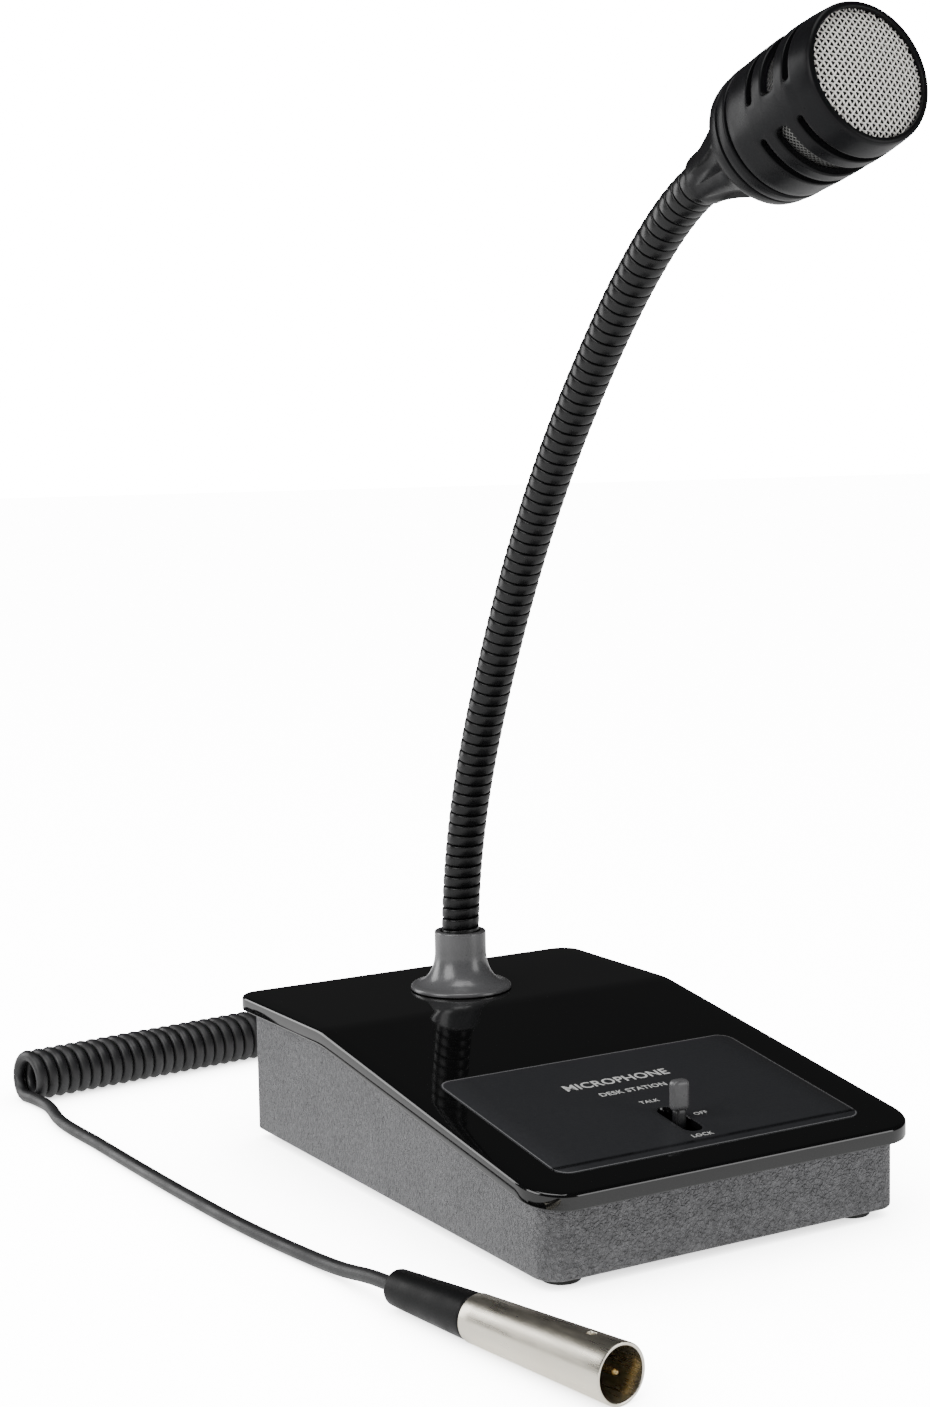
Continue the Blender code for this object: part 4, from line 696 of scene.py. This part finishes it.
housing = make_piece("grained_housing", [
    sheet(base_points(bottom_x, bottom_y, floor_drop + 0.0 * bottom_y)),
    hoop(np.stack(housing_rings)),
    sheet(base_points(inner_x, inner_y, tray_floor + 0.0 * inner_y))], grain_finish, "base")
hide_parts("lower_housing")


# ---------------------------------------------------------------- feet and cover screws
# Four moulded rubber feet, each held by the long screw that also clamps the cover to the housing.
foot_finish = plain_finish("foot_rubber", (0.010, 0.010, 0.010), (300.0, 0.65, 0.85, 3.0),
                           (1200.0, 3.0, 0.25, 0.0002))
zinc_finish = plain_finish("zinc_plate", (0.58, 0.58, 0.56), (400.0, 0.26, 0.44, 3.0), (1500.0, 3.0, 0.1, 0.0002),
                           metallic=1.0)
foot_outline = [(0.0037, 0.0), (0.0066, 0.0), (0.0070, 0.0006), (0.0070, 0.0032), (0.0019, 0.0032), (0.0019, 0.0016),
                (0.0037, 0.0016)]
screw_outline = [(0.0, 0.0009), (0.0006, 0.0007), (0.0011, 0.0003), (0.0028, 0.0003), (0.0033, 0.0007),
                 (0.0033, 0.0013), (0.0015, 0.0013), (0.0015, 0.0165), (0.0, 0.0173)]
for name in ("front_left", "front_right", "rear_left", "rear_right"):
    low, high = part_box("foot_" + name)
    spot = Matrix.Translation(((low.x + high.x) / 2.0, (low.y + high.y) / 2.0, 0.0))
    foot = turned_piece("rubber_foot_" + name, rounded(foot_outline, 0.0003), 56, spot, foot_finish, "base")
    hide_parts("foot_" + name)
    screw = turned_piece("housing_screw_" + name, rounded(screw_outline, 0.0002), 28, spot, zinc_finish, "base")
    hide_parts("cover_screw_" + name)


# ---------------------------------------------------------------- control label
# Printed polyester film in a shallow recess of the slope, with round corners and a fine border line.
# Plain function words mark the lever's positions.
label_middle = -0.0610
label_half = (0.06475, 0.0415 / math.cos(slope))
slope_place = Matrix.Translation((0.0, base_y + label_middle, float(cover_height(np.array(label_middle)))))
slope_place = slope_place @ Matrix.Rotation(slope, 4, "X")
slope_slot = (slot_y - label_middle) / math.cos(slope)


def on_slope(x, y, z):
    """Points in the label's own plane, X across and Y up the slope, to the part's frame."""
    return carried(np.stack((x, y, z + 0.0 * x), -1), slope_place)


label_top, label_under = 0.0002, -0.00015
label_corner = 0.006
cell_y = np.linspace(-1.0, 1.0, 15) * cell_half[1]
cell_x = np.linspace(-1.0, 1.0, 13) * cell_half[0]
corner_turn = np.radians(np.linspace(0.0, 90.0, 9))


def label_plan(inset):
    corner = label_corner - inset
    wide, deep = label_half[0] - inset, label_half[1] - inset
    y = np.concatenate((-deep + corner * (1 - np.cos(corner_turn)), [slope_slot - 0.019], slope_slot + cell_y,
                        np.linspace(slope_slot + 0.02, deep - corner - 0.002, 6),
                        deep - corner * (1 - np.cos(corner_turn[::-1]))))
    half = np.full(len(y), wide)
    half[:9] = wide - corner * (1 - np.sin(corner_turn))
    half[-9:] = wide - corner * (1 - np.sin(corner_turn[::-1]))
    outer = np.linspace(cell_half[0] / label_half[0], 1.0, 6)[1:]
    share = np.concatenate((-outer[::-1], cell_x / label_half[0], outer))
    x = np.where(np.abs(share) <= cell_half[0] / label_half[0] + 1e-9, share * label_half[0], share * half[:, None])
    return x, np.repeat(y[:, None], len(share), 1)


label_x, label_y = label_plan(0.0001)
label_low_x, label_low_y = label_plan(0.0)
label_cell = ((np.abs(label_x[:-1, :-1] + label_x[1:, 1:]) < 2.0 * cell_half[0])
              & (np.abs((label_y[:-1, :-1] + label_y[1:, 1:]) / 2.0 - slope_slot) < cell_half[1]))
label_hole = pierced(lambda x, y, d: on_slope(x, y + slope_slot, label_top - 0.00005 * d),
                     lambda x, y, d: on_slope(x, y + slope_slot, label_under), cell_x, cell_y,
                     slot_half[0], slot_half[1], slot_half[0] - 1e-6, 0.00005)
label_edge = np.stack([on_slope(*(loop_round(g) for g in label_plan(inset)), z)
                       for inset, z in ((0.0001, label_top), (0.00002, label_top - 0.00006), (0.0, label_under))])
film_finish, film_shader, film_spot = new_finish("printed_film", (0.020, 0.0205, 0.023), 0.42)
flat_x, flat_y, _ = split_axes(local_to(film_spot, slope_place))
over_x, over_y = (axis.maths("MAXIMUM", axis.maths("ABSOLUTE", axis) - (half - label_corner), 0.0)
                  for axis, half in ((flat_x, label_half[0]), (flat_y, label_half[1])))
from_edge = label_corner - (over_x * over_x + over_y * over_y) ** 0.5
band = from_edge.maths("COMPARE", from_edge, 0.0006, 0.00022)
two_colours(film_shader, band, (0.020, 0.0205, 0.023), (0.16, 0.16, 0.165))
between(noise(film_spot, 700.0, 2.0), 0.38, 0.48).into(film_shader, "Roughness")
add_bump(film_shader, noise(film_spot, 1800.0, 2.0), 0.10, 0.0001)
label = make_piece("control_film", [sheet(on_slope(label_x, label_y, label_top), label_cell),
                                    sheet(on_slope(label_low_x, label_low_y, label_under), label_cell),
                                    hoop(label_edge), hoop(label_hole)],
                   film_finish, "base")
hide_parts("control_label")

ink_finish = plain_finish("white_ink", (0.62, 0.62, 0.61), (900.0, 0.42, 0.6, 3.0))


def printed(name, words, x, y, height, weight, spread=1.0):
    """Words set in the plain built-in face, centred on a point of the label and given a film's thickness."""
    text = bpy.data.curves.new(name, "FONT")
    text.body = words
    text.size = height
    text.offset = weight
    text.space_character = spread
    text.align_x = "CENTER"
    text.align_y = "CENTER"
    text.extrude = 0.00003
    text.resolution_u = 3
    holder = bpy.data.objects.new(name + "_text", text)
    bpy.context.scene.collection.objects.link(holder)
    bpy.context.view_layer.update()
    mesh = bpy.data.meshes.new_from_object(holder)
    bpy.data.objects.remove(holder)
    mesh.transform(slope_place @ Matrix.Translation((x, y, label_top + 0.00003)))
    mesh.materials.clear()
    mesh.materials.append(ink_finish)
    piece = bpy.data.objects.new(name, mesh)
    bpy.context.scene.collection.objects.link(piece)
    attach(piece, "base")
    return piece


def along_slope(y):
    return (y - label_middle) / math.cos(slope)


printed("title_print", "MICROPHONE", -0.0015, along_slope(-0.0425), 0.0068, 0.00009, 1.04)
printed("subtitle_print", "DESK STATION", -0.0005, along_slope(-0.0520), 0.0041, 0.00003, 1.05)
printed("talk_print", "TALK", -0.0013, along_slope(-0.0632), 0.0031, 0.00002, 1.1)
printed("off_print", "OFF", 0.0100, along_slope(-0.0786), 0.0031, 0.00002, 1.1)
printed("lock_print", "LOCK", -0.0004, along_slope(-0.0940), 0.0031, 0.00002, 1.1)


# ---------------------------------------------------------------- lever switch
# A flat steel lever, blacked, rocks fore and aft on a pin under the slot. Its tip carries a moulded
# paddle with a rounded top, which stays where the thumb leaves it.
pivot = Vector((0.0, base_y + slot_y, float(cover_height(np.array(slot_y))) - 0.018))
lever_place = Matrix.Translation(pivot)


def cushion_block(low, high, round_by, bulge, taper_low, taper_high):
    """Block whose level sections are rounded rectangles, drawn in at the ends of its height.

    Each section is |x/a|^n + |y/b|^n = 1 with n = 5, and its half sizes follow a quarter circle near each end.
    """
    height = np.linspace(0.0, 1.0, 33)
    length = high[2] - low[2]
    near_low = np.clip(height * length / round_by, 0.0, 1.0)
    near_high = np.clip((1.0 - height) * length / round_by, 0.0, 1.0)
    pull = round_by * (2.0 - np.sqrt(1 - (1 - near_low) ** 2) - np.sqrt(1 - (1 - near_high) ** 2))
    turn = np.linspace(0.0, 2.0 * math.pi, 48, endpoint=False)
    c, s = np.cos(turn), np.sin(turn)
    round_x = np.sign(c) * np.abs(c) ** 0.5
    round_y = np.sign(s) * np.abs(s) ** 0.5
    scale = taper_low + (taper_high - taper_low) * height
    half_x = ((high[0] - low[0]) / 2.0 - pull * 0.9) * scale
    half_y = ((high[1] - low[1]) / 2.0 - pull * 0.7) * scale * (1.0 + bulge * np.sin(math.pi * height))
    x = (low[0] + high[0]) / 2.0 + half_x[:, None] * round_x
    y = (low[1] + high[1]) / 2.0 + half_y[:, None] * round_y
    z = low[2] + height[:, None] * length + 0.0 * x
    grid = np.stack((x, y, z), -1)
    middle_low = np.broadcast_to(grid[0].mean(0), grid[0].shape)
    middle_high = np.broadcast_to(grid[-1].mean(0), grid[-1].shape)
    return np.concatenate((middle_low[None], grid, middle_high[None]))


paddle_finish = plain_finish("paddle_plastic", (0.09, 0.09, 0.093), (300.0, 0.26, 0.38, 3.0))
lever_finish = plain_finish("blacked_steel", (0.010, 0.010, 0.011), (400.0, 0.30, 0.46, 3.0))
paddle_grid = cushion_block((-0.0034, -0.0022, 0.0212), (0.0034, 0.0022, 0.0324), 0.0018, 0.0, 1.0, 1.0)
paddle = make_piece("lever_tip", [hoop(carried(paddle_grid, lever_place))], paddle_finish, "lever")
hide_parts("lever_paddle")
lever_grid = cushion_block((-0.00225, -0.0018, 0.0010), (0.00225, 0.0018, 0.0216), 0.0004, 0.0, 1.0, 1.0)
hub_turn = Matrix.Rotation(math.pi / 2.0, 4, "Y")
hub_outline = [(0.0018, -0.0019), (0.0038, -0.0019), (0.0038, 0.0019), (0.0018, 0.0019)]
lever = make_piece("lever_stem", [hoop(carried(lever_grid, lever_place))], lever_finish, "lever")
hub = turned_piece("lever_hub", rounded(hub_outline, 0.0003), 40, lever_place @ hub_turn, lever_finish, "lever")
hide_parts("switch_lever")
moulded_finish = plain_finish("switch_plastic", (0.012, 0.012, 0.013), (300.0, 0.48, 0.62, 3.0))


# ---------------------------------------------------------------- neck collar
# Turned collar in satin black paint, flared at its foot, that hides the threaded stud and nut which
# clamp the neck to the cover.
collar_finish = plain_finish("satin_black_paint", (0.090, 0.090, 0.093), (160.0, 0.27, 0.32, 3.0),
                             (2200.0, 2.0, 0.05, 0.0001),
                             Coat_Weight=0.25, Coat_Roughness=0.18)
seat = rear_z + 0.0003
flare_turn = np.radians(np.linspace(0.0, 90.0, 17))
flare_low, flare_high = seat + 0.0019, seat + 0.0151
flare = [(0.0104 + 0.0090 * (1 - math.sin(a)), flare_high - (flare_high - flare_low) * math.cos(a))
         for a in flare_turn]
foot_part = rounded([(0.0064, seat), (0.0204, seat), (0.0204, seat + 0.0012), (0.0194, seat + 0.0019)],
                    [0.0, 0.0003, 0.0006, 0.0])
top_part = rounded([flare[-1], (0.0104, seat + 0.0236), (0.0082, seat + 0.0236), (0.0082, seat + 0.0130),
                    (0.0064, seat + 0.0130)], [0.0, 0.0006, 0.0003, 0.0, 0.0])
collar_outline = np.concatenate((foot_part, np.array(flare), top_part[1:]))
collar = turned_piece("flared_collar", collar_outline, 112, Matrix.Translation((0.0, neck_y, 0.0)),
                      collar_finish, "base")
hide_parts("neck_collar")


# ---------------------------------------------------------------- gooseneck
# A steel wire wound with a black strip: rounded bands 4.5 mm apart, with a narrow groove between them.
# The real neck bends anywhere; here it is cut into lengths that each cross one of the eight places where the neck's
# bodies meet, but no length is tied to a body.
neck_turns = [(0.0, 0.0), (0.030, 8.3), (0.080, 19.7), (0.160, 28.2), (0.240, 37.8), (0.290, 44.3), (0.330, 56.3),
              (0.350, 69.7), (0.357, 74.5)]
neck_length = neck_turns[-1][0]
neck_radius = 0.0076
strip_pitch = 0.0045
joint_places = [0.026 + 0.040 * k for k in range(8)]
neck_foot_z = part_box("neck_segment_1")[0].z


def neck_line():
    """Distance, Y, Z and lean along the neck: the lean is a cubic curve through the stops, added up in steps."""
    stops = np.array(neck_turns)
    d = np.linspace(0.0, neck_length, 715)
    lean = np.radians(cubic_through(stops[:, 0], stops[:, 1], d))
    step = d[1]
    y = neck_y - np.concatenate(([0.0], np.cumsum((np.sin(lean[1:]) + np.sin(lean[:-1])) / 2.0 * step)))
    z = neck_foot_z + np.concatenate(([0.0], np.cumsum((np.cos(lean[1:]) + np.cos(lean[:-1])) / 2.0 * step)))
    return d, y, z, lean


line_d, line_y, line_z, line_lean = neck_line()


def about_neck(distance, turn, radius):
    """Points at a distance along the neck, a turn about it from +X, and a radius from its centre line."""
    y, z, lean = (np.interp(distance, line_d, v) for v in (line_y, line_z, line_lean))
    across, over = radius * np.cos(turn) + 0.0 * y, radius * np.sin(turn)
    return np.stack((across, y + over * np.cos(lean), z + over * np.sin(lean)), -1)


def band_radius(phase):
    """Radius over one strip: a shallow arch across the band, and a round-bottomed groove at its edge."""
    arch = 1.0 - ((phase - 0.5) / 0.5) ** 2
    groove = np.exp(-(np.minimum(phase, 1.0 - phase) / 0.05) ** 2)
    return neck_radius - 0.00024 * (1.0 - arch) - 0.00080 * groove


def strip_length(name, start, end):
    """Closed tube: the strip's profile runs in a helix, and each end is cut square."""
    turn = np.linspace(0.0, 2.0 * math.pi, 57)
    phases = np.array([0.0, 0.03, 0.06, 0.09, 0.13, 0.2, 0.35, 0.5, 0.65, 0.8, 0.87, 0.91, 0.94, 0.97])
    first, last = int(start / strip_pitch) - 2, int(end / strip_pitch) + 2
    rows = (np.arange(first, last)[:, None] + phases).ravel() * strip_pitch
    distance = np.clip(rows[:, None] + strip_pitch * turn / (2.0 * math.pi), start, end)
    phase = (distance / strip_pitch - turn / (2.0 * math.pi)) % 1.0
    outside = about_neck(distance, turn, band_radius(phase))
    inside = about_neck(np.linspace(start, end, 14)[:, None] + 0.0 * turn, turn, 0.0045)
    caps = []
    for d, ring in ((start, inside[0]), (end, inside[-1])):
        phase = (d / strip_pitch - turn / (2.0 * math.pi)) % 1.0
        caps.append(np.stack((about_neck(d + 0.0 * turn, turn, band_radius(phase)), ring)))
    return make_piece(name, [sheet(outside), sheet(inside),
                             sheet(caps[0]), sheet(caps[1])], neck_finish, None, 60.0)


neck_finish = plain_finish("strip_black", (0.0035, 0.0035, 0.0038), (240.0, 0.24, 0.36, 3.0),
                           (1600.0, 3.0, 0.12, 0.0002),
                           Specular_IOR_Level=0.26)
cuts = [0.0] + [(a + b) / 2.0 for a, b in zip(joint_places, joint_places[1:])] + [neck_length]
for k, joint_at in enumerate(joint_places):
    piece = strip_length(f"gooseneck_{k + 1}", cuts[k], cuts[k + 1])
    before, after = (about_neck(np.array(joint_at + reach), np.array(0.0), np.array(0.0))
                     for reach in (-0.017, 0.017))
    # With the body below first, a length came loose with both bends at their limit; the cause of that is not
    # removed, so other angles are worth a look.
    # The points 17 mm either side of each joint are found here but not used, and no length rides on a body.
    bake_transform(piece)
    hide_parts(f"neck_segment_{k + 1}", *(["neck_segment_9"] if k == 7 else []))


# ---------------------------------------------------------------- head barrel
# Moulded in satin black nylon: a slightly barrelled sleeve with three sets of sound slots, one wide
# between two narrow ones, and a thin lip that holds the front grille.
head_length, crimp_depth, clearance = 0.086, 0.0078, 0.0003
head_end = Matrix.Translation((0.0, float(line_y[-1]), float(line_z[-1])))
head_end = head_end @ Matrix.Rotation(float(line_lean[-1]), 4, "X")
head_place = head_end @ Matrix.Translation((0.0, 0.0, head_length - crimp_depth + clearance))
head_place = head_place @ Matrix.Rotation(math.pi, 4, "Y")


def about_head(turn, along, radius):
    """Points at a turn about the head's axis, a distance back from its rim and a radius."""
    return carried(np.stack((radius * np.cos(turn), radius * np.sin(turn), along + 0.0 * turn), -1), head_place)


def barrel_radius(along):
    """Outside of the barrel: a gentle swell, read from a few radii by a straight line between them."""
    return np.interp(along, (0.0, 0.0016, 0.006, 0.012, 0.018, 0.024, 0.032, 0.0418),
                     (0.0227, 0.0229, 0.0233, 0.02365, 0.0237, 0.02365, 0.0235, 0.0230))


barrel_bore = 0.0212
slot_rows = [(0.0110, 0.0027, 0.0012), (0.0203, 0.0062, 0.0020), (0.0296, 0.0027, 0.0012)]
slot_turns = np.radians((287.0, 47.0, 167.0))
half_slot = math.radians(46.0)
half_cell = math.radians(60.0)
row_edges = [0.0076, 0.01535, 0.02505, 0.0335]
flat_radius = 0.0235
end_share = np.array([0.0, 0.015, 0.03, 0.045, 0.06, 0.08])
cell_share = np.concatenate((-1 + end_share, np.linspace(-0.88, 0.88, 23), 1 - end_share[::-1]))
turn_lines = slot_turns[:, None] + cell_share[:-1] * half_cell
turn_lines = np.unique(np.round(turn_lines.ravel() % (2.0 * math.pi), 9))


def barrel_cell(centre, middle, width, corner, ys, chamfer):
    """One slot with the skin round it; its ends and sides are eased by the chamfer."""
    place_out = lambda x, y, d: about_head(centre + x / flat_radius, middle + y,
                                           barrel_radius(middle + y) - 0.8 * chamfer * d)
    place_in = lambda x, y, d: about_head(centre + x / flat_radius, middle + y, barrel_bore + 0.0 * x)
    gx, gy = np.meshgrid(cell_share * half_cell * flat_radius, ys, indexing="xy")
    ex, ey = loop_round(gx), loop_round(gy)
    px = ex / (half_cell * flat_radius)
    py = np.where(ey > 0, ey / ys[-1], -ey / ys[0])
    wide = hole_edge(px, py, half_slot * flat_radius + chamfer, width / 2.0 + chamfer, corner + chamfer)
    near = hole_edge(px, py, half_slot * flat_radius, width / 2.0, corner)
    mix = np.linspace(0.0, 1.0, 4)[:, None]
    out = place_out(ex + (wide[0] - ex) * mix, ey + (wide[1] - ey) * mix, 0.0)
    middle_edge = [place_out((wide[0] * (1 - t) + near[0] * t)[None], (wide[1] * (1 - t) + near[1] * t)[None], t * t)
                   for t in (0.35, 0.7, 1.0)]
    inside = place_in(near[0] + (ex - near[0]) * mix, near[1] + (ey - near[1]) * mix, 0.0)
    return np.concatenate([out] + middle_edge + [inside])


def barrel_rings(profile):
    """Whole rings of the barrel from pairs of radius and distance back."""
    ring_turn = turn_lines[None, :]
    return hoop(np.concatenate([about_head(ring_turn, s + 0.0 * ring_turn, r) for r, s in profile]))


def on_barrel(rows):
    return [(float(barrel_radius(row)), row) for row in rows]


patches = []
for (middle, width, corner), low, high in zip(slot_rows, row_edges, row_edges[1:]):
    ys = np.linspace(low, high, 9) - middle
    chamfer = 0.00055 if width > 0.004 else 0.00035
    patches += [hoop(barrel_cell(centre, middle, width, corner, ys, chamfer)) for centre in slot_turns]
front_rows = np.array([0.0016, 0.0030, 0.0045, 0.0060, row_edges[0]])
rear_rows = np.array([row_edges[3], 0.0355, 0.0375, 0.0395, 0.0418])
lip = [(0.0212, 0.0014), (0.0206, 0.0014), (0.0206, 0.0004), (0.02075, 0.0001), (0.0210, 0.0), (0.0217, 0.0),
       (0.0221, 0.0001), (0.02255, 0.0004), (0.0228, 0.0010), *on_barrel([0.0016])]
tail_edge = [*on_barrel([0.0418]), (0.02285, 0.0423), (0.0226, 0.0426), (0.0223, 0.0427),
             (0.0212, 0.0427)]
bore_rows = [[(barrel_bore, 0.0014), (barrel_bore, row_edges[0])],
             [(barrel_bore, row_edges[3]), (barrel_bore, 0.0427)]]
patches += [barrel_rings(p) for p in (lip, on_barrel(front_rows), on_barrel(rear_rows), tail_edge, *bore_rows)]
nylon_finish = plain_finish("satin_nylon", (0.0055, 0.0055, 0.0062), (200.0, 0.27, 0.35, 3.0),
                            (1500.0, 2.0, 0.06, 0.0001),
                            Specular_IOR_Level=0.09)
barrel = make_piece("slotted_barrel", patches, nylon_finish, "neck_8", 32.0)
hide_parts("head_barrel")


# ---------------------------------------------------------------- clamp ring and rear cap
# The ring joins barrel and cap, with a fine groove on each side. The cap tapers to the neck in a cone
# with six shallow flutes, and the neck is crimped into its end.
ring_outline = [(0.0185, 0.0434), (0.0225, 0.0434), (0.0230, 0.0440), (0.0229, 0.0460), (0.0226, 0.0478),
                (0.0185, 0.0478)]
ring = turned_piece("joint_ring", rounded(ring_outline, 0.0004), 128, head_place, nylon_finish, "neck_8")
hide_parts("clamp_ring")


def flutes(turn, radius, height):
    """Six scoops round the cone: a rounded cosine across, deepest midway, fading out at both ends."""
    share = np.clip((height - 0.0560) / 0.0265, 0.0, 1.0)
    across = np.clip(np.cos(6.0 * (turn - math.radians(45.0))), 0.0, 1.0)
    depth = 0.0025 * across**0.55 * np.sin(math.pi * share**0.8)
    return radius - np.where(radius > 0.0086, depth, 0.0)


cone = [(0.0220, 0.0485), (0.02245, 0.0489), (0.0224, 0.0500), (0.0221, 0.0515), (0.0217, 0.0530), (0.0211, 0.0540),
        (0.0200, 0.0552), (0.0188, 0.0564), (0.0178, 0.0576), (0.0169, 0.0590), (0.0161, 0.0606), (0.0154, 0.0624),
        (0.0147, 0.0644), (0.0140, 0.0664), (0.0133, 0.0684), (0.0126, 0.0704), (0.0119, 0.0724), (0.0113, 0.0744),
        (0.0107, 0.0764), (0.0102, 0.0784), (0.0097, 0.0804), (0.0093, 0.0824), (0.0090, 0.0842), (0.0089, 0.0855),
        (0.0087, 0.0860), (0.00825, 0.0860), (0.00825, 0.0783), (0.0040, 0.0783), (0.0040, 0.0645), (0.0140, 0.0525),
        (0.0140, 0.0485)]
cap = turned_piece("fluted_cap", cone, 144, head_place, nylon_finish, "neck_8", flutes, 50.0)
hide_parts("head_rear_cap")


# ---------------------------------------------------------------- front grille
# Plain-woven bright steel wire, 0.56 mm thick and 1.66 mm apart, pressed into a shallow dome behind the
# lip, with black acoustic foam behind it.
wire_pitch = 0.00166
wire_radius = 0.00028
mesh_radius = 0.0209


def woven_wires(direction, sign):
    """Wires side by side in the direction given, each a wave that goes over and under the ones across it.

    Height is the dome, which falls off with the square of the radius, plus a cosine of half the pitch's beat.
    """
    count = int(mesh_radius / wire_pitch)
    offset = np.arange(-count, count + 1) * wire_pitch
    reach = np.sqrt(mesh_radius**2 - offset**2)
    along = np.linspace(-1.0, 1.0, 125)[None, :] * reach[:, None]
    wave = sign * np.cos(math.pi * (along / wire_pitch + np.arange(-count, count + 1)[:, None]))
    turn = np.linspace(0.0, 2.0 * math.pi, 6, endpoint=False)
    across = offset[:, None, None] + wire_radius * np.cos(turn)
    lift = (wire_radius * 0.95 * wave)[:, :, None] + wire_radius * np.sin(turn)
    run = np.repeat(along[:, :, None], 6, 2)
    across = np.broadcast_to(across, run.shape)
    c, s = math.cos(direction), math.sin(direction)
    x, y = run * c - across * s, run * s + across * c
    dome = 0.00205 - 0.0016 * (1.0 - (x**2 + y**2) / mesh_radius**2)
    return carried(np.stack((x, y, dome - lift), -1), head_place)


wires = [hoop(w) for degrees, sign in ((45.0, 1.0), (135.0, -1.0))
         for w in woven_wires(math.radians(degrees), sign)]
tips = [hoop(np.stack((w[end], np.broadcast_to(w[end].mean(0), w[end].shape))))
        for w, *_ in wires for end in (0, -1)]
wire_finish = plain_finish("bright_wire", (0.99, 0.975, 0.93), (800.0, 0.22, 0.38, 2.0), metallic=0.25)
grille = make_piece("woven_grille", wires + tips, wire_finish, "neck_8", 60.0)
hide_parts("front_grille")

foam_finish, foam_shader, foam_spot = new_finish("acoustic_foam", (0.006, 0.006, 0.006), 0.95)
pores = foam_spot.make("ShaderNodeTexVoronoi", {}, {"Vector": foam_spot, "Scale": 1400.0})
add_bump(foam_shader, pores, 0.8, 0.0004)
foam_outline = [(0.0, 0.0040), (0.0120, 0.0042), (0.0205, 0.0044), (0.0205, 0.0074), (0.0, 0.0074)]
foam = turned_piece("foam_disc", rounded(foam_outline, 0.0004), 72, head_place, foam_finish, "neck_8")
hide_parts("front_foam")
retainer = turned_piece("grille_ring", rounded([(0.0209, 0.0026), (0.0209, 0.0042), (0.0186, 0.0042),
                                                (0.0186, 0.0026)], 0.0002), 96, head_place, nylon_finish, "neck_8")
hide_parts("grille_retainer")


# ---------------------------------------------------------------- slot screen
# Fine woven steel gauze rolled into a sleeve behind the slots; black damping cloth shows through it.
gauze_finish, gauze_shader, gauze_spot = new_finish("fine_gauze", (0.35, 0.35, 0.34), 0.4, 1.0)
local_x, local_y, local_z = split_axes(local_to(gauze_spot, head_place))
round_it = local_x.maths("ARCTAN2", local_y, local_x) * 82.0
down_it = local_z * (2.0 * math.pi / 0.0016)
one_way = (round_it + down_it).maths("SINE", round_it + down_it)
other_way = (round_it - down_it).maths("SINE", round_it - down_it)
weave = one_way.maths("MAXIMUM", one_way, other_way)
threads = weave.maths("GREATER_THAN", weave, 0.55)
two_colours(gauze_shader, threads, (0.004, 0.004, 0.004), (0.16, 0.16, 0.155))
threads.into(gauze_shader, "Metallic")
add_bump(gauze_shader, weave, 0.6, 0.0002)
gauze = turned_piece("gauze_sleeve", [(0.0209, 0.0090), (0.0209, 0.0395), (0.0205, 0.0395), (0.0205, 0.0090)], 120,
                     head_place, gauze_finish, "neck_8")
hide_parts("slot_screen")


# ---------------------------------------------------------------- inside pieces
# Everything closed in by the base and the head keeps its shape and takes its own finish: plated steel,
# brass, green board and terminals, black rubber.
brass_finish = plain_finish("turned_brass", (0.70, 0.52, 0.24), (500.0, 0.22, 0.4, 3.0), metallic=1.0)
board_finish = plain_finish("green_board", (0.02, 0.13, 0.05), (200.0, 0.3, 0.5, 3.0))
inside_finishes = {"steel": zinc_finish, "brass": brass_finish, "board_green": board_finish,
                   "terminal_green": board_finish, "matt_black": moulded_finish, "black_rubber": foot_finish}
slots = {s["node"]: s["material_slot"] for s in frame["record"]["subparts"]}
for name, piece in nodes.items():
    if not piece.hide_render and slots[name] in inside_finishes:
        piece.data.materials.clear()
        piece.data.materials.append(inside_finishes[slots[name]])
